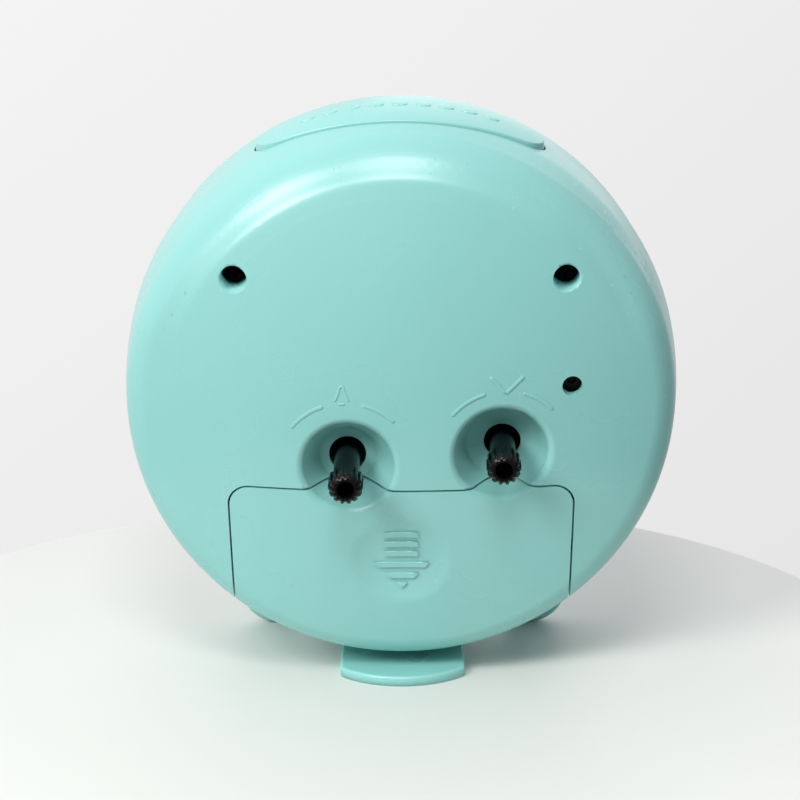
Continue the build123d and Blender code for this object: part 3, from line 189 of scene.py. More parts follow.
@dataclass(frozen=True)
class Moulded(Finish):
    """Injection-moulded plastic: slow flow mottling, fine tool grain and uneven gloss.

    The grain of a real tool is about 0.05 mm; grain_mm is coarser so that it shows.
    """

    name: str
    colour: str
    deep_colour: str
    roughness: float
    roughness_spread: float = 0.06
    grain_mm: float = 0.45
    grain_depth_mm: float = 0.012
    flow_mm: float = 24.0
    ior: float = 1.53
    specular: float = 0.5
    scatter_mm: float = 0.0
    scatter_share: float = 0.25

    def draw(self, skin: Skin) -> None:
        """Add the mottled colour and gloss, the grain and any light scatter."""
        flow = skin.noise(self.flow_mm, detail=3.0)
        grain = skin.noise(self.grain_mm, detail=2.0)
        gloss = (self.roughness - self.roughness_spread, self.roughness + self.roughness_spread)
        values = {"IOR": self.ior, "Specular IOR Level": self.specular,
                  "Roughness": skin.ramp(flow, to=gloss),
                  "Normal": skin.bump(grain, strength=0.5, depth_mm=self.grain_depth_mm)}
        if self.scatter_mm > 0:
            values |= {"Subsurface Weight": self.scatter_share,
                       "Subsurface Scale": self.scatter_mm * MM,
                       "Subsurface Radius": (0.8, 1.0, 1.0)}
        skin.surface(skin.mix(flow, self.colour, self.deep_colour), values)


@dataclass(frozen=True)
class Metal(Finish):
    """Sheet, wire or turned metal with drawn lines along one axis."""

    name: str
    colour: str
    deep_colour: str
    roughness: float
    line_mm: float = 0.12
    stretch: Point = (1.0, 1.0, 8.0)
    depth_mm: float = 0.004

    def draw(self, skin: Skin) -> None:
        """Add the drawn lines to colour, gloss and relief."""
        scale = tuple(1.0 / s for s in self.stretch)
        drawn = skin.add("Mapping", {"Scale": scale, "Vector": skin.point}).outputs["Vector"]
        lines = skin.noise(self.line_mm, 3.0, drawn)
        gloss = skin.ramp(lines, to=(self.roughness * 0.8, self.roughness * 1.3))
        skin.surface(skin.mix(lines, self.colour, self.deep_colour),
                     {"Metallic": 1.0, "Roughness": gloss,
                      "Normal": skin.bump(lines, strength=0.4, depth_mm=self.depth_mm)})


@dataclass(frozen=True)
class Enamel(Finish):
    """Stoved paint on thin metal: a fine orange peel under a clear gloss."""

    name: str
    colour: str
    roughness: float = 0.32
    peel_mm: float = 0.7
    peel_depth_mm: float = 0.006

    def draw(self, skin: Skin) -> None:
        """Add the orange peel to colour and relief."""
        peel = skin.noise(self.peel_mm, detail=1.0)
        tint = skin.add("HueSaturation", {"Color": self.colour,
                                          "Value": skin.ramp(peel, to=(0.9, 1.08))})
        skin.surface(tint.outputs["Color"],
                     {"Roughness": self.roughness, "Coat Weight": 0.4, "Coat Roughness": 0.15,
                      "Normal": skin.bump(peel, strength=0.3, depth_mm=self.peel_depth_mm)})


@dataclass(frozen=True)
class ClearLens(Finish):
    """Polished clear polystyrene sheet: nearly invisible, with a painted reflection at the edges.
    """

    name: str = "clear_polystyrene_polished"
    # pale colour whose cover at grazing views is a painted reflection
    tint: str = "#F4FAFA"
    swirl_mm: float = 30.0

    def draw(self, skin: Skin) -> None:
        """Add the swirl in the gloss and the pale cover that grows towards grazing views, a
        painted reflection.
        """
        swirl = skin.noise(self.swirl_mm, detail=1.0)
        # the cover grows towards grazing views: a painted reflection over the clear sheet
        facing = skin.add("LayerWeight", {"Blend": 0.25}).outputs["Facing"]
        skin.surface(self.tint, {"IOR": 1.59, "Roughness": skin.ramp(swirl, to=(0.02, 0.06)),
                                 "Alpha": skin.ramp(facing, to=(0.06, 0.55))})


@dataclass(frozen=True)
class PrintedDial(Finish):
    """Printed translucent sheet: pastel sky that deepens towards the rim, with soft dots."""

    centre: Point
    lean: float
    name: str = "printed_polyester_sheet"
    radius_mm: float = 46.3
    inner_colour: str = "#FFF8E2"
    sky_colour: str = "#DDF2F2"
    rim_colour: str = "#9ADAD8"
    dot_colour: str = "#FFFFFF"
    dot_mm: float = 5.0
    weave_mm: float = 0.3

    def draw(self, skin: Skin) -> None:
        """Add the rings of sky, the dots and the weave, about the dial's own middle."""
        moved = skin.add("Mapping", {"Location": tuple(-c for c in self.centre),
                                     "Vector": skin.point}).outputs["Vector"]
        upright = skin.add("Mapping", {"Rotation": (self.lean, 0, 0),
                                       "Vector": moved}).outputs["Vector"]
        flat = skin.add("VectorMath", {"operation": "MULTIPLY", "0": upright,
                                       "1": (1.0, 0.0, 1.0)}).outputs["Vector"]
        reach = skin.add("VectorMath", {"operation": "LENGTH", "0": flat}).outputs["Value"]
        sky = skin.add("ValToRGB", {"Fac": skin.ramp(reach, (0.0, self.radius_mm * MM))})
        stops = ((0.0, self.inner_colour), (0.40, self.inner_colour), (0.43, self.sky_colour),
                 (0.86, self.sky_colour), (0.88, self.rim_colour), (1.0, self.rim_colour))
        while len(sky.color_ramp.elements) < len(stops):
            sky.color_ramp.elements.new(0.5)
        for element, (place, code) in zip(sky.color_ramp.elements, stops):
            element.position = place
            element.color = linear(code)
        dots = skin.add("TexVoronoi", {"Scale": per_metre(self.dot_mm), "Randomness": 0.75,
                                       "Vector": flat}).outputs["Distance"]
        weave = skin.noise(self.weave_mm, 2.0, upright)
        skin.surface(skin.mix(skin.ramp(dots, (0.16, 0.12)), sky.outputs["Color"],
                              self.dot_colour),
                     {"Roughness": 0.5, "IOR": 1.57,
                      "Normal": skin.bump(weave, strength=0.2, depth_mm=0.004)})


@dataclass(frozen=True)
class Laminate(Finish):
    """Glass-fibre circuit board under green solder mask, with tracks and tinned pads."""

    name: str = "glass_epoxy_laminate_solder_mask"
    mask: str = "#1F6B3A"
    track: str = "#2F8A4E"
    pad: str = "#D8D4C4"
    track_mm: float = 1.6

    def draw(self, skin: Skin) -> None:
        """Add the tracks between cells and the pads in their middles."""
        cells = skin.add("TexVoronoi", {"Scale": per_metre(self.track_mm), "Randomness": 0.6,
                                        "distance": "CHEBYCHEV",
                                        "Vector": skin.point}).outputs["Distance"]
        rule = skin.ramp(cells, (0.34, 0.38))
        ring = skin.ramp(cells, (0.12, 0.09))
        skin.surface(skin.mix(ring, skin.mix(rule, self.track, self.mask), self.pad),
                     {"Roughness": 0.28, "IOR": 1.55, "Metallic": ring,
                      "Normal": skin.bump(rule, strength=0.4, depth_mm=0.03)})


@dataclass(frozen=True)
class BandedSleeve(Finish):
    """Shrunk film sleeve of a round cell: dark body with one plain band at its positive end."""

    name: str
    band_from_mm: float
    band_to_mm: float
    body_colour: str = "#2B2D33"
    band_colour: str = "#B98A4A"
    wrinkle_mm: float = 3.0

    def draw(self, skin: Skin) -> None:
        """Add the band between its two ends along X, and the film's wrinkles."""
        along = skin.add("SeparateXYZ", {"Vector": skin.point}).outputs["X"]
        after = skin.calculate("GREATER_THAN", along, self.band_from_mm * MM)
        before = skin.calculate("LESS_THAN", along, self.band_to_mm * MM)
        film = skin.noise(self.wrinkle_mm, detail=2.0)
        skin.surface(skin.mix(skin.calculate("MULTIPLY", after, before), self.body_colour,
                              self.band_colour),
                     {"Roughness": 0.25, "Metallic": 0.35, "Coat Weight": 0.5,
                      "Normal": skin.bump(film, strength=0.3, depth_mm=0.05)})


@dataclass(frozen=True)
class Winding(Finish):
    """Enamelled copper wire wound turn beside turn along X."""

    name: str = "enamelled_copper_wire_wound"
    colour: str = "#B5642C"
    # darker colour between the turns: painted shade in the grooves
    groove_shade_colour: str = "#5A2A12"
    wire_mm: float = 0.35       # a real 0.03 mm wire is drawn coarser so that the turns show

    def draw(self, skin: Skin) -> None:
        """Add the turns of the wire to colour and relief, with painted shade in the grooves
        between turns.
        """
        turns = skin.add("TexWave", {"Scale": per_metre(self.wire_mm) / math.tau * 0.5,
                                     "Distortion": 0.6, "Vector": skin.point}).outputs["Fac"]
        # the mix paints shade into the grooves between the turns
        skin.surface(skin.mix(turns, self.groove_shade_colour, self.colour),
                     {"Roughness": 0.35, "Metallic": 0.8,
                      "Normal": skin.bump(turns, strength=0.7, depth_mm=0.05)})


# ---- mesh helpers
def link(name: str, data: bpy.types.ID) -> bpy.types.Object:
    """Add an object with its data to the scene."""
    item = bpy.data.objects.new(name, data)
    bpy.context.scene.collection.objects.link(item)
    return item


def flattened(piece: bpy.types.Object) -> bpy.types.Mesh:
    """Mesh of an object with its modifiers or its text applied."""
    graph = bpy.context.evaluated_depsgraph_get()
    return bpy.data.meshes.new_from_object(piece.evaluated_get(graph))


def merged_copy(node: str, name: str, weld_mm: float) -> bpy.types.Object:
    """Copy of a node of the frame whose coinciding vertices are merged."""
    piece = link(name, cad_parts[node].data.copy())
    weld = piece.modifiers.new("weld", "WELD")
    weld.merge_threshold = weld_mm * MM
    merged = flattened(piece)
    piece.modifiers.clear()
    piece.data = merged
    return piece


def values_of(items: bpy.types.bpy_prop_collection, key: str, width: int = 1) -> np.ndarray:
    """One property of a mesh's items: whole numbers up to a width of 2, floats over it."""
    flat = np.empty(len(items) * width, dtype=np.int64 if width < 3 else np.float64)
    items.foreach_get(key, flat)
    return flat if width == 1 else flat.reshape(-1, width)


def new_piece(name: str, verts: np.ndarray, faces: Iterable[tuple[int, ...]],
              smooth_deg: float = 35.0) -> bpy.types.Object:
    """Make an object whose place is in its mesh.

    Args:
        name: Name of the piece.
        verts: Points in metres, shape (n, 3).
        faces: Corner numbers of each face.
        smooth_deg: Edges sharper than this stay sharp.

    Returns:
        The new object, linked to the scene.
    """
    mesh = bpy.data.meshes.new(name)
    mesh.from_pydata(verts.tolist(), [], [tuple(map(int, f)) for f in faces])
    mesh.validate()
    mesh.shade_smooth()
    mesh.set_sharp_from_angle(angle=math.radians(smooth_deg))
    return link(name, mesh)


def closed_rings(rings: np.ndarray) -> Shape:
    """Skin a stack of closed rings and close both ends with a fan round a middle point.

    Args:
        rings: Points, shape (rings, around, 3), turning so that quads face outwards.

    Returns:
        Points and faces.
    """
    count, around = rings.shape[:2]
    verts = np.vstack([rings.reshape(-1, 3), rings[0].mean(axis=0), rings[-1].mean(axis=0)])
    step = np.arange(around)
    after = (step + 1) % around
    first = np.arange(count - 1)[:, None] * around
    quads = np.stack([first + step, first + after, first + after + around,
                      first + step + around], axis=-1).reshape(-1, 4)
    low, top = count * around, (count - 1) * around
    faces = [tuple(quad) for quad in quads]
    faces += [(int(b), int(a), low) for a, b in zip(step, after)]
    faces += [(int(top + a), int(top + b), low + 1) for a, b in zip(step, after)]
    return verts, faces


def join_parts(parts: list[Shape]) -> Shape:
    """Join several point and face sets into one."""
    verts, faces, offset = [], [], 0
    for points, corners in parts:
        verts.append(points)
        faces += [tuple(int(c) + offset for c in face) for face in corners]
        offset += len(points)
    return np.vstack(verts), faces


def polar(radius: float | np.ndarray, angle: np.ndarray, at: tuple[float, float] = (0.0, 0.0)
          ) -> np.ndarray:
    """Flat points (..., 2) at a radius and angles counted from +X about a middle."""
    return np.stack([at[0] + radius * np.cos(angle), at[1] + radius * np.sin(angle)], axis=-1)


def clockwise(points: np.ndarray, degrees: float) -> tuple[np.ndarray, np.ndarray]:
    """x and z of flat points (..., 2), turned clockwise as seen from the dial's front."""
    turn = math.radians(degrees)
    x, z = points[..., 0], points[..., 1]
    return x * math.cos(turn) + z * math.sin(turn), z * math.cos(turn) - x * math.sin(turn)


def pillow(path: np.ndarray, width: float, height: float, corners: int = 12
           ) -> tuple[np.ndarray, np.ndarray]:
    """Low rounded ridge along a flat path, as offsets from the surface that carries it.

    The section at share t along the path is a superellipse of power 4: across
    width/2 * c(a), up height * s(a), where c and s are cosine and sine to the power 1/2
    with their signs. Both ends close with a quarter circle one half-width long.

    Args:
        path: Points (n, 2) in the plane of the surface, in millimetres.
        width: Width of the ridge in millimetres.
        height: Height over the surface in millimetres; it reaches as far below.
        corners: Points round the section.

    Returns:
        Plane coordinates (n, corners, 2) and heights (n, corners).
    """
    step = np.gradient(path, axis=0)
    length = np.linalg.norm(step, axis=1, keepdims=True)
    along = step / length
    side = np.stack([-along[:, 1], along[:, 0]], axis=1)
    run = np.concatenate([[0.0], np.cumsum(np.linalg.norm(np.diff(path, axis=0), axis=1))])
    near = np.clip(np.minimum(run, run[-1] - run) / (width / 2), 0.0, 1.0)
    taper = np.maximum(np.sqrt(1.0 - (1.0 - near) ** 2), 0.02)
    angle = np.linspace(0, math.tau, corners, endpoint=False)
    across, up = (np.sign(wave) * np.sqrt(np.abs(wave)) for wave in (np.cos(angle), np.sin(angle)))
    flat = path[:, None, :] + side[:, None, :] * (taper[:, None, None] * across[None, :, None]
                                                  * width / 2)
    return flat, up[None, :] * height * taper[:, None]


# ---- the case's own form, repeated from its driving sizes
@dataclass(frozen=True)
class CaseForm:
    """Sizes of the case about the hand axis, in millimetres, and its place on the table."""

    lean_deg: float = 2.0
    axis_height: float = 59.0
    radius: float = 55.0
    seam: float = -0.5
    back: float = 29.3
    front: float = -17.9
    dome_radius: float = 145.0
    edge_radius: float = 7.0
    flank_radius: float = 128.0
    front_taper: float = 1.3
    front_edge_radius: float = 4.0
    bar_proud: float = 1.3
    bar_crown_radius: float = 34.0
    bar_crown_depth: float = 0.2
    dish_floor: float = 19.6
    dish_rim_radius: float = 9.4
    dishes: tuple[Point, ...] = ((10.5, -10.4065, 5.5), (-19.9, -7.9065, 7.2))
    grip_height: float = -30.5065
    grip_radius: float = 9.8
    grip_depth: float = 1.1
    rib_height: float = 0.45

    def turn(self, vectors: np.ndarray, back: bool = False) -> np.ndarray:
        """Turn directions about the hand axis into the shared frame, or back."""
        lean = math.radians(-self.lean_deg if back else self.lean_deg)
        rear = vectors[..., 1] * math.cos(lean) + vectors[..., 2] * math.sin(lean)
        up = vectors[..., 2] * math.cos(lean) - vectors[..., 1] * math.sin(lean)
        return np.stack([vectors[..., 0], rear, up], axis=-1)

    def unplace(self, points: np.ndarray) -> np.ndarray:
        """Points of the shared frame, in metres, as millimetres about the hand axis."""
        return self.turn(points / MM - np.array([0.0, 0.0, self.axis_height]), back=True)

    def place(self, points: np.ndarray) -> np.ndarray:
        """Turn points about the hand axis into the shared frame.

        A turn about X by minus the lean, then a lift by the height of the axis.

        Args:
            points: Points (..., 3) in millimetres, dial towards -Y, knobs towards +Y.

        Returns:
            Points in metres.
        """
        return (self.turn(points) + np.array([0.0, 0.0, self.axis_height])) * MM

    def edge_centre(self) -> tuple[float, float]:
        """Distance from the axis and depth of the centre of the edge's arc.

        The arc touches the flank's arc and the dome's from inside, so its centre lies at
        flank_radius - edge_radius and dome_radius - edge_radius from their centres.
        """
        flank = (self.radius - self.flank_radius, self.seam)
        dome = (0.0, self.back - self.dome_radius)
        to_flank = self.flank_radius - self.edge_radius
        to_dome = self.dome_radius - self.edge_radius
        dx, dy = dome[0] - flank[0], dome[1] - flank[1]
        span = math.hypot(dx, dy)
        along = (to_flank ** 2 - to_dome ** 2 + span ** 2) / (2 * span)
        across = math.sqrt(to_flank ** 2 - along ** 2)
        return (flank[0] + (along * dx - across * dy) / span,
                flank[1] + (along * dy + across * dx) / span)

    def grip_ball(self) -> tuple[Point, float]:
        """Centre and radius of the sphere that hollows the grip, along the dome's normal."""
        crown = self.dome_radius - math.sqrt(self.dome_radius ** 2 - self.grip_radius ** 2)
        sag = self.grip_depth - crown
        radius = (self.grip_radius ** 2 + sag ** 2) / (2 * sag)
        tilt = math.asin(self.grip_height / self.dome_radius)
        reach = self.dome_radius - self.grip_depth + radius
        return ((0.0, self.back - self.dome_radius + reach * math.cos(tilt),
                 reach * math.sin(tilt)), radius)

    def dome(self, x: np.ndarray, z: np.ndarray) -> np.ndarray:
        """Back surface: a sphere of the dome's radius whose crown lies on the hand axis."""
        return self.back - self.dome_radius + np.sqrt(self.dome_radius ** 2 - x ** 2 - z ** 2)

    def bar_reach(self) -> float:
        """Distance from the hand axis of the centre of the bar's crown."""
        return self.radius + self.bar_proud - self.bar_crown_radius

    def bar_top(self, y: np.ndarray) -> np.ndarray:
        """Radius of the bar's crown at a depth: an arc turned about the hand axis."""
        rise = np.sqrt(self.bar_crown_radius ** 2 - (y - self.bar_crown_depth) ** 2)
        return self.bar_reach() + rise

    def centre(self) -> Point:
        """Point of the hand axis above the frame's origin, in metres."""
        return (0.0, 0.0, self.axis_height * MM)


# ---- sub-assemblies
class Finishes:
    """All finishes, built once and put on the frame's nodes."""

    def __init__(self, form: CaseForm) -> None:
        """Make every finish."""
        self.form = form
        self.nodes = {key: nodes for key, (_, nodes) in self.table().items()}
        self.built = {key: finish.build() for key, (finish, _) in self.table().items()}

    def table(self) -> dict[str, tuple[Finish, tuple[str, ...]]]:
        """Each finish by a short name, with the nodes that it goes on."""
        dial = PrintedDial(self.form.centre(), math.radians(self.form.lean_deg))
        return {
            "case": (Moulded("abs_turquoise_moulded", "#91CFCB", "#8CCAC6", 0.28,
                             roughness_spread=0.04),
                     ("front_housing", "rear_shell", "bezel_ring", "battery_door", "push_bar")),
            "white": (Moulded("abs_white_moulded", "#F1EFEA", "#EAE8E2", 0.40), ("dial_ring",)),
            "opal": (Moulded("acrylic_opal_cast", "#F6F3EA", "#EFECE2", 0.30, scatter_mm=2.0),
                     ("diffuser",)),
            "knob": (Moulded("abs_black_polished_mould", "#070505", "#040303", 0.24,
                             roughness_spread=0.05, grain_depth_mm=0.006, flow_mm=4.0,
                             specular=0.22), ("alarm_knob", "time_knob")),
            "black": (Moulded("polystyrene_black_moulded", "#1B1B1D", "#141416", 0.42),
                      ("movement_plate", "movement_cover", "movement_bridge", "switch_body")),
            "acetal": (Moulded("acetal_natural_moulded", "#EAE5D8", "#E2DCCB", 0.38,
                               flow_mm=6.0, scatter_mm=0.6),
                       ("alarm_wheel", "hour_wheel", "minute_wheel", "motion_wheel",
                        "second_wheel", "train_wheel", "alarm_shaft", "time_shaft",
                        "switch_plunger")),
            "sounder": (Moulded("noryl_black_sounder", "#121214", "#0D0D0F", 0.48,
                                flow_mm=5.0), ("buzzer",)),
            "resin": (Moulded("silicone_phosphor_cast", "#F2D977", "#EBCB58", 0.25,
                              flow_mm=1.5, scatter_mm=0.4), ("light_diodes",)),
            "ferrite": (Metal("ferrite_sintered", "#4A4A4D", "#3A3A3D", 0.5), ("step_rotor",)),
            "stator": (Metal("silicon_iron_sheet_annealed", "#8F9093", "#75767A", 0.38,
                             stretch=(8.0, 1.0, 1.0)), ("stator",)),
            "nickel": (Metal("spring_steel_nickel_plated", "#D3D0C8", "#BAB7AF", 0.22,
                             stretch=(1.0, 8.0, 1.0)),
                       ("bar_springs", "contact_bridge", "contact_positive",
                        "contact_negative")),
            "screw": (Metal("steel_blackened_screw", "#111113", "#0A0A0C", 0.45),
                      ("case_screws",)),
            "hand": (Enamel("steel_navy_stoved_paint", "#1D2B4A"), ("hour_hand", "minute_hand")),
            "alarm_hand": (Enamel("steel_yellow_stoved_paint", "#F2B632"), ("alarm_hand",)),
            "second_hand": (Enamel("steel_coral_stoved_paint", "#E8553F"), ("second_hand",)),
            "numeral": (Enamel("screen_ink_navy", "#24355C", roughness=0.5), ()),
            "star": (Enamel("screen_ink_warm_yellow", "#F6CC5A", roughness=0.5), ()),
            "lume": (Moulded("luminous_paint_screened", "#DDEFC4", "#D2E6B4", 0.6,
                             flow_mm=2.0), ()),
            "lens": (ClearLens(), ("lens",)),
            "dial": (dial, ("dial",)),
            "board": (Laminate(), ("light_board", "switch_board", "circuit_board")),
            "coil": (Winding(), ("motor_coil",)),
            "cell_upper": (BandedSleeve("film_sleeve_upper_cell", 12.0, 26.2), ("cell_upper",)),
            "cell_lower": (BandedSleeve("film_sleeve_lower_cell", -26.2, -12.0),
                           ("cell_lower",)),
        }

    def settle(self, piece: bpy.types.Object, finish: str, body: Body, slot: str) -> None:
        """Give a piece its finish and the body that it rides on."""
        piece.data.materials.clear()
        piece.data.materials.append(self.built[finish])
        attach(piece, body.value)
        LOG.info("%s rides on %s", piece.name, body.value)

    def dress_frame(self) -> None:
        """Put a finish on every node of the frame."""
        for finish, nodes in self.nodes.items():
            for node in nodes:
                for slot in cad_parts[node].material_slots:
                    slot.material = self.built[finish]
                LOG.info("node %s: %s", node, finish)


@dataclass
class Assembly(ABC):
    """Group of pieces that scene.py makes about the case's form."""

    form: CaseForm
    finishes: Finishes

    def skinned(self, x: np.ndarray, y: np.ndarray, z: np.ndarray, turned: bool = False) -> Shape:
        """Closed skin over rings of points about the hand axis, in millimetres.

        Args:
            x: Values that spread with y and z to the shape (rings, around).
            y: Depths, towards the knobs.
            z: Heights.
            turned: Whether the rings run the other way round.

        Returns:
            Points in metres and faces.
        """
        rings = self.form.place(np.stack(np.broadcast_arrays(x, y, z), axis=-1))
        return closed_rings(rings[:, ::-1] if turned else rings)

    def add(self, name: str, shape: Shape, finish: str, body: Body, slot: str) -> None:
        """Make a piece of a shape and settle it."""
        self.finishes.settle(new_piece(name, *shape), finish, body, slot)

    @abstractmethod
    def build(self) -> None:
        """Make the pieces."""


@dataclass(frozen=True)
class Patch:
    """Surface that vertices may lie on: how far each is from it, and its outward normals."""

    gap: np.ndarray
    normal: np.ndarray


@dataclass
class TopShoulder:
    """Wider shoulder over the top of the rear shell, sunk into its outer skin.

    With r the distance from the hand axis and y the depth, the shoulder's coordinate is
    v = ((r - y) / sqrt(2) - start) / length, from 0 at the crest of the back to 1 at the
    rim. The skin goes in by depth * v * (1 - v)**1.5, with v kept above 0 by a smooth
    maximum, and the depth fades out towards the sides with the slope z / r.
    """

    form: CaseForm
    surfaces: Callable[[np.ndarray], list[Patch]]
    start: float = 17.3
    length: float = 15.5
    depth: float = 8.5
    crest_round: float = 0.05
    least_share: float = -0.25
    fade: tuple[float, float] = (0.25, 0.75)
    skin: float = 0.06
    edge_length: float = 0.7
    rounds: int = 7
    refine_over: float = 0.002
    move_over: float = 0.0005

    def sink(self, points: np.ndarray) -> np.ndarray:
        """How far the skin goes in at points about the hand axis, in millimetres."""
        spread = np.hypot(points[:, 0], points[:, 2])
        share = ((spread - points[:, 1]) / math.sqrt(2) - self.start) / self.length
        soft = (share + np.sqrt(share ** 2 + self.crest_round ** 2)) / 2
        bowl = soft * np.clip(1.0 - soft, 0.0, None) ** 1.5 * (share > self.least_share)
        steep = points[:, 2] / spread
        fade = np.clip((steep - self.fade[0]) / (self.fade[1] - self.fade[0]), 0.0, 1.0)
        return self.depth * bowl * fade ** 2 * (3 - 2 * fade)

    def outer(self, points: np.ndarray) -> tuple[np.ndarray, np.ndarray]:
        """Which points lie on the outer skin, and the normal of its nearest surface."""
        patches = self.surfaces(points)
        gaps = [patch.gap for patch in patches]
        normal = np.choose(np.argmin(gaps, axis=0)[:, None], [patch.normal for patch in patches])
        return np.min(gaps, axis=0) < self.skin, normal

    def refine(self, mesh: bpy.types.Mesh) -> None:
        """Halve the long edges of the skin where it will sink."""
        for _ in range(self.rounds):
            points = self.form.unplace(values_of(mesh.vertices, "co", 3))
            inside, _ = self.outer(points)
            ends = values_of(mesh.edges, "vertices", 2)
            middle = (points[ends[:, 0]] + points[ends[:, 1]]) / 2
            span = np.linalg.norm(points[ends[:, 0]] - points[ends[:, 1]], axis=1)
            deep = np.maximum(self.sink(middle), self.sink(points)[ends].max(axis=1))
            chosen = (inside[ends].all(axis=1) & (span > self.edge_length)
                      & (deep > self.refine_over))
            if not chosen.any():
                return
            work = bmesh.new()
            work.from_mesh(mesh)
            work.edges.ensure_lookup_table()
            picked = [work.edges[int(index)] for index in np.flatnonzero(chosen)]
            bmesh.ops.subdivide_edges(work, edges=picked, cuts=1)
            bmesh.ops.triangulate(work, faces=work.faces[:])
            work.to_mesh(mesh)
            work.free()

    def build(self, mesh: bpy.types.Mesh) -> None:
        """Sink the skin of a merged shell, in metres and in the shared frame."""
        self.refine(mesh)
        world = values_of(mesh.vertices, "co", 3)
        points = self.form.unplace(world)
        inside, normal = self.outer(points)
        depth = self.sink(points) * inside
        keep = depth > self.move_over
        world[keep] = self.form.place(points - depth[:, None] * normal)[keep]
        mesh.vertices.foreach_set("co", world.reshape(-1))
        mesh.update()
        LOG.info("top shoulder: %d vertices sunk, at most %.2f mm", int(keep.sum()),
                 float(depth.max()))


@dataclass
class TrueShells(Assembly):
    """Merged copies of the curved shells, shaded by the normals of their true surfaces.

    A corner takes the normal of the surface on which its vertex lies and whose normal is
    nearest to its face's. Corners on no such surface keep the averaged normal between
    sharp edges.
    """

    bodies: tuple[tuple[str, Body], ...] = (
        ("rear_shell", Body.CASE), ("front_housing", Body.CASE),
        ("battery_door", Body.DOOR), ("push_bar", Body.BAR))
    sharp_deg: float = 30.0
    reach_mm: float = 0.012
    nearest_cosine: float = 0.90
    weld_mm: float = 0.002

    def ball(self, points: np.ndarray, centre: Point, radius: float,
             side: float) -> Patch:
        """Sphere; side is 1 where the material is inside it and -1 where it is outside."""
        arm = points - np.array(centre)
        length = np.linalg.norm(arm, axis=1, keepdims=True)
        return Patch(np.abs(length[:, 0] - radius), side * arm / length)

    def turned_arc(self, points: np.ndarray, reach: float, depth: float, radius: float) -> Patch:
        """Arc of a circle turned about the hand axis.

        Args:
            points: Points (n, 3) about the hand axis, in millimetres.
            reach: Distance of the circle's centre from the axis.
            depth: Depth of the circle's centre.
            radius: Radius of the circle.

        Returns:
            The patch.
        """
        spread = np.hypot(points[:, 0], points[:, 2])
        out, rear = spread - reach, points[:, 1] - depth
        length = np.hypot(out, rear)
        share = out / length / spread
        normal = np.stack([points[:, 0] * share, rear / length, points[:, 2] * share], axis=1)
        return Patch(np.abs(length - radius), normal)

    def cone(self, points: np.ndarray, axis: tuple[float, float], depth: float, radius: float,
             slope: float, side: float) -> Patch:
        """Cone about a line along Y.

        Args:
            points: Points (n, 3), in millimetres.
            axis: x and z of its axis.
            depth: Depth at which it has the radius.
            radius: That radius.
            slope: Growth of its radius per millimetre of depth.
            side: 1 where the material is inside, -1 where it is outside.

        Returns:
            The patch.
        """
        x, z = points[:, 0] - axis[0], points[:, 2] - axis[1]
        spread = np.hypot(x, z)
        tilt = math.hypot(1.0, slope)
        gap = np.abs(spread - radius - slope * (points[:, 1] - depth)) / tilt
        normal = side * np.stack([x / spread, np.full_like(x, -slope), z / spread], axis=1) / tilt
        return Patch(gap, normal)

    def rear_skin(self, points: np.ndarray) -> list[Patch]:
        """Dome, flank and the edge between them."""
        form = self.form
        return [self.ball(points, (0.0, form.back - form.dome_radius, 0.0),
                          form.dome_radius, 1.0),
                self.turned_arc(points, form.radius - form.flank_radius, form.seam,
                                form.flank_radius),
                self.turned_arc(points, *form.edge_centre(), form.edge_radius)]

    def patches(self, points: np.ndarray) -> list[Patch]:
        """All surfaces of the case, the bar, the dishes and the grip."""
        form = self.form
        found = [*self.rear_skin(points),
                 self.cone(points, (0.0, 0.0), form.seam, form.radius,
                           form.front_taper / (form.seam - form.front), 1.0),
                 self.turned_arc(points, form.bar_reach(), form.bar_crown_depth,
                                 form.bar_crown_radius)]
        rim = form.radius - form.front_taper - form.front_edge_radius
        found.append(self.turned_arc(points, rim, form.front + form.front_edge_radius,
                                     form.front_edge_radius))
        for x, z, floor_radius in form.dishes:
            top = float(form.dome(np.array(x), np.array(z)))
            slope = (form.dish_rim_radius - floor_radius) / (top - form.dish_floor)
            found.append(self.cone(points, (x, z), form.dish_floor, floor_radius, slope, -1.0))
        centre, radius = form.grip_ball()
        for raised in (0.0, form.rib_height):
            found.append(self.ball(points, centre, radius - raised, -1.0))
        return found

    def shade(self, mesh: bpy.types.Mesh) -> int:
        """Set the corner normals of a merged mesh.

        Args:
            mesh: Mesh in metres, in the shared frame.

        Returns:
            Number of corners that lie on a known surface.
        """
        mesh.shade_smooth()
        mesh.set_sharp_from_angle(angle=math.radians(self.sharp_deg))
        points = self.form.unplace(values_of(mesh.vertices, "co", 3))
        normals = self.form.turn(values_of(mesh.corner_normals, "vector", 3), back=True)
        vertex = values_of(mesh.loops, "vertex_index")
        facing = self.form.turn(values_of(mesh.polygons, "normal", 3), back=True)
        facing = np.repeat(facing, values_of(mesh.polygons, "loop_total"), axis=0)
        best = np.full(len(vertex), self.nearest_cosine)
        for patch in self.patches(points):
            cosine = np.einsum("ij,ij->i", patch.normal[vertex], facing)
            better = (patch.gap[vertex] < self.reach_mm) & (cosine > best)
            normals[better] = patch.normal[vertex][better]
            best[better] = cosine[better]
        mesh.normals_split_custom_set(self.form.turn(normals).tolist())
        return int((best > self.nearest_cosine).sum())

    def build(self) -> None:
        """Replace each shell by its merged and shaded copy."""
        for node, body in self.bodies:
            piece = merged_copy(node, node + "_shaded", self.weld_mm)
            if node == "rear_shell":
                TopShoulder(self.form, self.rear_skin).build(piece.data)
            known = self.shade(piece.data)
            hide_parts(node)
            self.finishes.settle(piece, "case", body, "case_plastic")
            LOG.info("%s: %d of %d corners on known surfaces", node, known,
                     len(piece.data.loops))


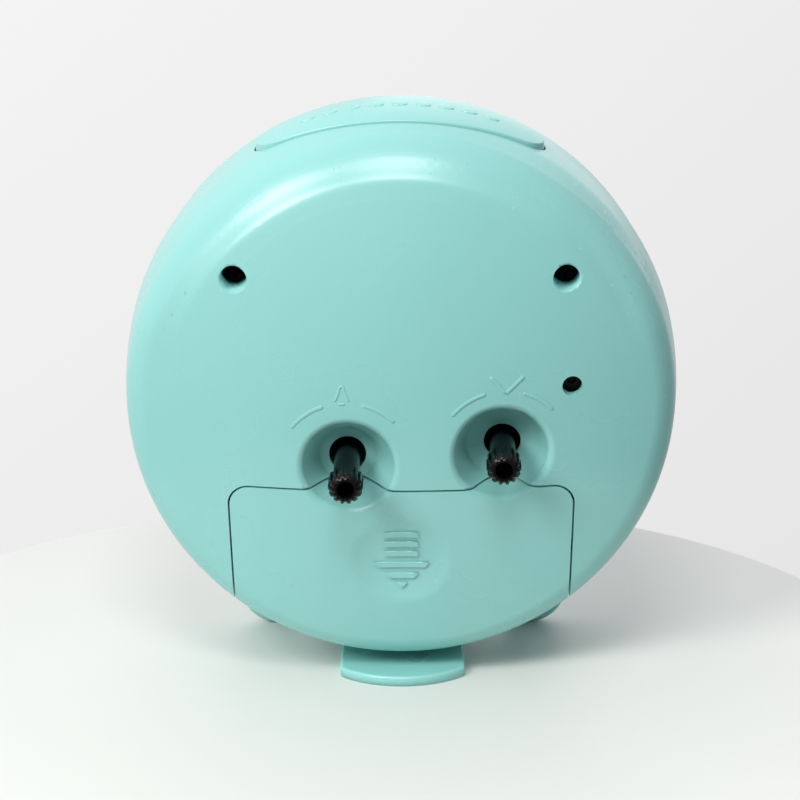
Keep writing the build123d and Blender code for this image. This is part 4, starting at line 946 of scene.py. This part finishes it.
@dataclass
class BarSprings(Assembly):
    """Return springs under the push bar."""

    travel: float = 1.2
    depth: float = 3.5
    weld_mm: float = 0.001

    def build(self) -> None:
        """Replace the springs by a merged, smooth-shaded copy."""
        piece = merged_copy("bar_springs", "bar_springs_live", self.weld_mm)
        piece.data.shade_smooth()
        height = self.form.unplace(values_of(piece.data.vertices, "co", 3))[:, 2]
        low, high = float(height.min()), float(height.max())
        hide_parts("bar_springs")
        self.finishes.settle(piece, "nickel", Body.CASE, "spring_steel")
        up = self.form.turn(np.array([0.0, 0.0, 1.0]))
        seat = self.form.place(np.array([0.0, self.depth, low]))
        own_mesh(piece)
        LOG.info("springs: %.1f mm long at rest", high - low)


@dataclass
class RearMarks(Assembly):
    """Raised arcs over the knobs, a bell and a pair of clock hands on the back."""

    alarm_at: tuple[float, float] = (10.5, -10.4)
    time_at: tuple[float, float] = (-19.9, -7.9)
    alarm_arc_radius: float = 13.5
    time_arc_radius: float = 13.0
    ridge_width: float = 0.66
    ridge_height: float = 0.17
    bell_line: tuple[float, float] = (0.6, 0.8)     # shares of the ridge's width and height
    alarm_spans: tuple[tuple[float, float], ...] = ((37.0, 71.0), (103.0, 134.0))
    time_spans: tuple[tuple[float, float], ...] = ((40.0, 75.0), (107.0, 138.0))
    bell_at: tuple[float, float] = (11.35, 4.73)
    bell_height: float = 2.6
    bell_spread: float = 0.95
    bell_crown: float = 0.42
    clapper: Point = (0.9, 0.45, 0.1)               # half-width, sag and gap under the lip
    hands_at: tuple[tuple[float, float], ...] = ((-17.4, 8.1), (-20.4, 4.6), (-24.0, 8.0))

    def on_dome(self, path: np.ndarray, width: float, height: float) -> Shape:
        """Ridge along a path (n, 2) of x and z, carried by the domed back."""
        flat, lift = pillow(path, width, height)
        x, z = flat[..., 0], flat[..., 1]
        return self.skinned(x, self.form.dome(x, z) + lift, z, turned=True)

    def arc(self, at: tuple[float, float], radius: float, span: tuple[float, float]
            ) -> np.ndarray:
        """Points of a circular arc between two angles counted from +X."""
        return polar(radius, np.radians(np.linspace(span[0], span[1], 40)), at)

    def line(self, start: tuple[float, float], end: tuple[float, float]) -> np.ndarray:
        """Evenly spaced points from start to end."""
        share = np.linspace(0, 1, 24)[:, None]
        return np.array(start) * (1 - share) + np.array(end) * share

    def bell(self) -> list[np.ndarray]:
        """Open outline of a bell that flares to its lip, and a flat clapper arc below.

        The half-width at share t of the height is bell_crown + bell_spread * t**1.3,
        closed over the top by a half circle.

        Returns:
            Paths (n, 2) in millimetres.
        """
        x0, z0 = self.bell_at
        share = np.linspace(0, 1, 20)
        half = self.bell_crown + self.bell_spread * share ** 1.3
        height = z0 + self.bell_height * (0.5 - share)
        turn = np.linspace(0, math.pi, 12)[1:-1]
        crown = polar(self.bell_crown, turn, (x0, height[0]))
        outline = np.vstack([np.stack([x0 + half, height], axis=1)[::-1], crown,
                             np.stack([x0 - half, height], axis=1)])
        wide, sag, gap = self.clapper
        swing = np.radians(np.linspace(225, 315, 14))
        clapper = np.stack([x0 + wide * np.cos(swing), height[-1] + sag * np.sin(swing) - gap],
                           axis=1)
        return [outline, clapper]

    def build(self) -> None:
        """Make the raised marks as one piece on the back."""
        size = (self.ridge_width, self.ridge_height)
        fine = (size[0] * self.bell_line[0], size[1] * self.bell_line[1])
        short, corner, long_end = self.hands_at
        paths = [(self.arc(at, radius, span), size)
                 for at, radius, spans in ((self.alarm_at, self.alarm_arc_radius,
                                            self.alarm_spans),
                                           (self.time_at, self.time_arc_radius,
                                            self.time_spans))
                 for span in spans]
        paths += [(path, fine) for path in self.bell()]
        paths += [(self.line(short, corner), size), (self.line(corner, long_end), size)]
        marks = join_parts([self.on_dome(path, *section) for path, section in paths])
        self.add("rear_raised_marks", marks, "case", Body.CASE, "case_plastic")


@dataclass
class BarDashes(Assembly):
    """One row of plain raised dashes on the push bar."""

    row: float = 2.9
    dash_count: int = 9
    dash_length: float = 3.2
    pitch: float = 4.6
    width: float = 2.2
    height: float = 0.22

    def dash(self, middle: float) -> Shape:
        """One dash whose middle lies at an arc length round the rim from the top.

        Arc length s along the rim and depth y become the angle s / r(y) from the top and
        the radius r(y) plus the lift.
        """
        half = self.dash_length / 2
        run = np.linspace(middle - half, middle + half, 16)
        path = np.stack([run, np.full_like(run, self.row)], axis=1)
        flat, lift = pillow(path, self.width, self.height)
        radius = self.form.bar_top(flat[..., 1])
        angle = flat[..., 0] / radius
        return self.skinned((radius + lift) * np.sin(angle), flat[..., 1],
                            (radius + lift) * np.cos(angle))

    def build(self) -> None:
        """Make the dashes as one piece on the bar."""
        first = -(self.dash_count - 1) / 2 * self.pitch
        parts = [self.dash(first + index * self.pitch) for index in range(self.dash_count)]
        self.add("bar_raised_dashes", join_parts(parts), "case", Body.BAR, "case_plastic")


@dataclass
class DialArt(Assembly):
    """Printed hour numerals, minute ticks, a crescent moon and stars on the dial."""

    dial_front: float = -8.6
    ink: float = 0.06
    sunk: float = 0.01
    numeral_radius: float = 33.5
    numeral_size: float = 8.5
    numeral_shares: tuple[float, float] = (1.15, 0.92)      # at each quarter and between
    numeral_weight: float = 0.12
    tick_outer: float = 45.2
    tick_size: tuple[float, float] = (0.45, 2.6)            # width and length
    hour_tick_size: tuple[float, float] = (0.9, 3.6)
    moon_at: tuple[float, float] = (0.0, 19.0)
    moon_radius: float = 4.6
    moon_shift: float = 0.55
    star_notch: float = 0.45
    stars: tuple[Point, ...] = (
        (-9.0, 17.0, 1.8), (9.5, 20.0, 1.5), (-7.0, -20.0, 1.6), (8.0, -18.0, 2.0),
        (0.5, -22.5, 1.3), (-18.5, 6.0, 1.4), (18.5, 5.0, 1.4))

    def slab(self, x: np.ndarray, z: np.ndarray) -> Shape:
        """Thin layer of ink over a star-shaped outline, anticlockwise from the front."""
        rear = self.dial_front + self.sunk
        return self.skinned(x[None], np.array([[rear], [rear - self.ink]]), z[None])

    def numerals(self) -> Shape:
        """Plain hour numerals, set upright round the dial."""
        parts = []
        for hour in range(1, 13):
            curve = bpy.data.curves.new(f"numeral_{hour}", "FONT")
            curve.body = str(hour)
            curve.size = self.numeral_size * self.numeral_shares[hour % 3 != 0]
            curve.align_x = "CENTER"
            curve.align_y = "CENTER"
            curve.extrude = self.ink / 2
            curve.offset = self.numeral_weight
            holder = link(curve.name, curve)
            mesh = flattened(holder)
            flat = values_of(mesh.vertices, "co", 3)
            angle = math.radians(30 * hour)
            middle = (flat[:, :2].min(axis=0) + flat[:, :2].max(axis=0)) / 2
            x = flat[:, 0] - middle[0] + self.numeral_radius * math.sin(angle)
            z = flat[:, 1] - middle[1] + self.numeral_radius * math.cos(angle)
            y = self.dial_front - self.ink / 2 - flat[:, 2]
            faces = [tuple(p.vertices) for p in mesh.polygons]
            parts.append((self.form.place(np.stack([x, y, z], axis=1)), faces))
            bpy.data.objects.remove(holder)
            bpy.data.meshes.remove(mesh)
        return join_parts(parts)

    def ticks(self) -> Shape:
        """Sixty minute ticks, the hour ones longer and wider."""
        parts = []
        for minute in range(60):
            width, length = self.tick_size if minute % 5 else self.hour_tick_size
            half, low, high = width / 2, self.tick_outer - length, self.tick_outer
            box = np.array([(-half, low), (half, low), (half, high), (-half, high)])
            parts.append(self.slab(*clockwise(box, 6 * minute)))
        return join_parts(parts)

    def star(self, x0: float, z0: float, radius: float) -> Shape:
        """Five-pointed star whose inner corners lie at star_notch of its radius."""
        step = np.arange(10)
        reach = np.where(step % 2 == 0, radius, self.star_notch * radius)
        return self.slab(*polar(reach, np.radians(90 + 36 * step), (x0, z0)).T)

    def moon(self) -> Shape:
        """Crescent: a grid between two arcs that meet at its tips.

        The outer arc runs from 60 to 300 degrees about the moon's middle. The inner arc
        joins the same tips about a point moon_shift radii to the right.
        """
        share = np.linspace(0.0, 1.0, 33)
        shift = self.moon_radius * self.moon_shift
        rim = polar(self.moon_radius, np.radians(60 + 240 * share))
        tip = rim[0]
        bite = math.hypot(tip[0] - shift, tip[1])
        start = math.atan2(tip[1], tip[0] - shift)
        hollow = polar(bite, start + (math.tau - 2 * start) * share, (shift, 0.0))
        half = (rim - hollow) / 2
        side = np.array([1.0, -1.0, -1.0, 1.0])
        up = np.array([1.0, 1.0, -1.0, -1.0]) * self.ink / 2
        flat = ((rim + hollow) / 2)[:, None] + half[:, None] * side[:, None]
        x, z = self.moon_at[0] + flat[..., 0], self.moon_at[1] + flat[..., 1]
        return self.skinned(x, self.dial_front - self.ink / 2 - up, z)

    def build(self) -> None:
        """Print the dial."""
        night = join_parts([*(self.star(*star) for star in self.stars), self.moon()])
        for name, shape, finish in (("dial_numerals", self.numerals(), "numeral"),
                                    ("dial_ticks", self.ticks(), "numeral"),
                                    ("dial_moon_and_stars", night, "star")):
            self.add(name, shape, finish, Body.CASE, "dial_print")


@dataclass(frozen=True)
class Strip:
    """Luminous strip on a hand: the hand's direction clockwise from twelve, in degrees, the
    strip's ends from the axis, its width and the depth of the hand's front face."""

    name: str
    body: Body
    turn_deg: float
    start: float
    end: float
    width: float
    front: float


@dataclass
class HandInlays(Assembly):
    """Luminous strips on the hour and minute hands and the cap over the second hand."""

    strips: tuple[Strip, ...] = (
        Strip("hour_hand_inlay", Body.HOURS, 305.0, 7.0, 19.0, 1.7, -11.2),
        Strip("minute_hand_inlay", Body.MINUTES, 60.0, 8.0, 29.0, 1.3, -12.4))
    strip_height: float = 0.1
    second_front: float = -13.6
    cap_radius: float = 2.4
    cap_height: float = 0.9
    cap_step: float = 0.1
    cap_sunk: float = 0.05

    def strip(self, item: Strip) -> Shape:
        """Low ridge along a hand."""
        run = np.linspace(item.start, item.end, 30)
        path = np.stack([np.zeros_like(run), run], axis=1)
        flat, lift = pillow(path, item.width, self.strip_height)
        x, z = clockwise(flat, item.turn_deg)
        return self.skinned(x, item.front - lift, z)

    def cap(self) -> Shape:
        """Domed cap: radius r*cos(a) and height h*sin(a) for a up to near a right angle."""
        rise = np.linspace(0.0, math.pi / 2 * 0.98, 12)
        around = np.linspace(0, math.tau, 48, endpoint=False)
        radius = np.concatenate([[self.cap_radius], self.cap_radius * np.cos(rise)])
        depth = np.concatenate([[self.second_front + self.cap_sunk],
                                self.second_front - self.cap_step
                                - self.cap_height * np.sin(rise)])
        round_axis = polar(radius[:, None], around)
        return self.skinned(round_axis[..., 0], depth[:, None], round_axis[..., 1])

    def build(self) -> None:
        """Make the strips and the cap."""
        for item in self.strips:
            self.add(item.name, self.strip(item), "lume", item.body, "hand_metal")
        self.add("second_hand_cap", self.cap(), "second_hand", Body.SECONDS, "hand_metal")


# ---- studio
@dataclass(frozen=True)
class Lamp:
    """Square soft box: its middle and side length in metres, its radiant power and light."""

    name: str
    place: Point
    size: float
    watts: float
    colour: str = "#FFFFFF"

    def build(self, aim: Point) -> None:
        """Set the lamp so that it faces a point in metres."""
        light = bpy.data.lights.new(self.name, "AREA")
        light.shape = "SQUARE"
        light.size = self.size
        light.energy = self.watts
        light.color = linear(self.colour)[:3]
        holder = link(self.name, light)
        away = unit(np.array(self.place) - np.array(aim))
        side = unit(np.cross((0.0, 0.0, 1.0), away))
        holder.matrix_world = matrix(side, np.cross(away, side), away, np.array(self.place))


@dataclass
class Studio:
    """Round pale table, soft lamps, pale surroundings and the camera."""

    form: CaseForm
    picture_px: float = 800.0
    principal_px: tuple[float, float] = (401.416, 372.368)
    focal_px: float = 3481.2
    sensor_mm: float = 36.0
    distance_mm: float = 700.15
    over_axis_deg: float = 17.99
    yaw_deg: float = -0.505
    roll_deg: float = -0.338
    clip_m: tuple[float, float] = (0.01, 10.0)
    table_centre_mm: tuple[float, float] = (8.4, 14.4)
    table_radius_mm: float = 111.5
    table_thickness_mm: float = 16.0
    table_edge_mm: float = 2.0
    table_colour: str = "#DEDFDB"
    table_deep_colour: str = "#DBDCD8"
    surround_colour: str = "#FFFFFF"
    fill_colour: str = "#F8FAFF"
    room_bright: Point = (0.55, -0.65, 0.50)
    room_middle: float = 0.60
    room_spread: float = 0.48
    fill_share: float = 0.80
    lamps: tuple[Lamp, ...] = (
        Lamp("key_soft_box", (0.50, 0.60, 0.62), 0.36, 5.9, "#FFFDF8"),
        Lamp("upper_soft_box", (0.02, 0.60, 0.80), 0.30, 3.1),
        Lamp("wall_soft_box", (-0.30, -0.85, 0.45), 0.80, 1.2))

    def table(self) -> None:
        """Round table top with a rounded edge, turned about its own centre."""
        turn = np.linspace(0, math.pi / 2, 8)
        edge = self.table_edge_mm
        inner = self.table_radius_mm - edge
        radius = np.concatenate([inner + edge * np.sin(turn), [self.table_radius_mm]])
        height = np.concatenate([edge * (np.cos(turn) - 1), [-self.table_thickness_mm]])
        around = np.linspace(0, math.tau, 192, endpoint=False)
        flat = polar(radius[:, None], around, self.table_centre_mm)
        level = np.broadcast_to(height[:, None, None], (*flat.shape[:2], 1))
        rings = np.concatenate([flat, level], axis=-1)[:, ::-1] * MM
        piece = new_piece("table_top", *closed_rings(rings))
        paint = Moulded("melamine_white_table", self.table_colour, self.table_deep_colour, 0.55,
                        grain_mm=1.2, grain_depth_mm=0.01, flow_mm=60.0)
        piece.data.materials.append(paint.build())

    def surround(self) -> None:
        """Pale room that is brightest overhead and to one side.

        Its brightness along a direction d is room_middle + room_spread * (d . room_bright),
        for the light that it gives and for what is seen of it.
        """
        world = bpy.data.worlds.new("pale_room")
        bpy.context.scene.world = world
        room = Nodes(world)
        aim = tuple(map(float, unit(np.array(self.room_bright))))
        along = room.add("VectorMath", {"operation": "DOT_PRODUCT", "1": aim,
                                        "0": room.add("TexCoord").outputs["Generated"]})
        level = room.ramp(along.outputs["Value"], (-1.0, 1.0),
                          (self.room_middle - self.room_spread,
                           self.room_middle + self.room_spread))
        dim = room.calculate("MULTIPLY", level, self.fill_share)
        fill = room.add("Background", {"Color": self.fill_colour, "Strength": dim})
        seen = room.add("Background", {"Color": self.surround_colour, "Strength": level})
        rays = room.add("LightPath").outputs
        clear = room.calculate("MAXIMUM", rays["Is Camera Ray"], rays["Is Transmission Ray"])
        clear = room.calculate("MAXIMUM", clear, rays["Is Glossy Ray"])
        mixed = room.add("MixShader", {"0": clear, "1": fill.outputs["Background"],
                                       "2": seen.outputs["Background"]})
        room.add("OutputWorld", {"Surface": mixed.outputs["Shader"]})

    def camera(self) -> None:
        """Camera above and behind the clock.

        It looks along a line over_axis_deg above the knobs' axis. The right vector is
        up x back, both turned by the roll, and the picture is shifted so that the hand
        axis at the case's middle falls on its pixel.
        """
        over, yaw, roll = (math.radians(a) for a in
                           (self.over_axis_deg, self.yaw_deg, self.roll_deg))
        back = np.array([math.sin(yaw) * math.cos(over), math.cos(yaw) * math.cos(over),
                         math.sin(over)])
        right = unit(np.cross((0.0, 0.0, 1.0), back))
        up = np.cross(back, right)
        turned_right = math.cos(roll) * right + math.sin(roll) * up
        turned_up = -math.sin(roll) * right + math.cos(roll) * up
        origin = self.form.place(np.zeros(3))
        tips = self.form.turn(np.stack([turned_right, turned_up, back]))
        data = bpy.data.cameras.new("camera")
        data.lens = self.focal_px * self.sensor_mm / self.picture_px
        data.sensor_width = self.sensor_mm
        half = self.picture_px / 2
        data.shift_x = (half - self.principal_px[0]) / self.picture_px
        data.shift_y = (self.principal_px[1] - half) / self.picture_px
        data.clip_start, data.clip_end = self.clip_m
        holder = link("camera", data)
        holder.matrix_world = matrix(tips[0], tips[1], tips[2],
                                     origin + tips[2] * self.distance_mm * MM)
        bpy.context.scene.camera = holder

    def build(self) -> None:
        """Set the table, the lamps, the surroundings and the camera."""
        bpy.context.scene.view_settings.view_transform = "Standard"
        self.table()
        for lamp in self.lamps:
            lamp.build(self.form.centre())
        self.surround()
        self.camera()
        LOG.info("studio ready")


def unit(vector: np.ndarray) -> np.ndarray:
    """Vector of the same direction and length 1."""
    return vector / np.linalg.norm(vector)


def matrix(side: np.ndarray, up: np.ndarray, away: np.ndarray, place: np.ndarray) -> Matrix:
    """World matrix whose local X, Y and Z are side, up and away, at a place."""
    rows = [[float(axis[i]) for axis in (side, up, away, place)] for i in range(3)]
    return Matrix(rows + [[0.0, 0.0, 0.0, 1.0]])


def main() -> None:
    """Dress the frame, add the details and set the studio."""
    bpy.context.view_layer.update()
    form = CaseForm()
    finishes = Finishes(form)
    finishes.dress_frame()
    for assembly in (TrueShells, BarSprings, RearMarks, BarDashes, DialArt, HandInlays):
        assembly(form, finishes).build()
    Studio(form).build()


if __name__ == "__main__":
    main()
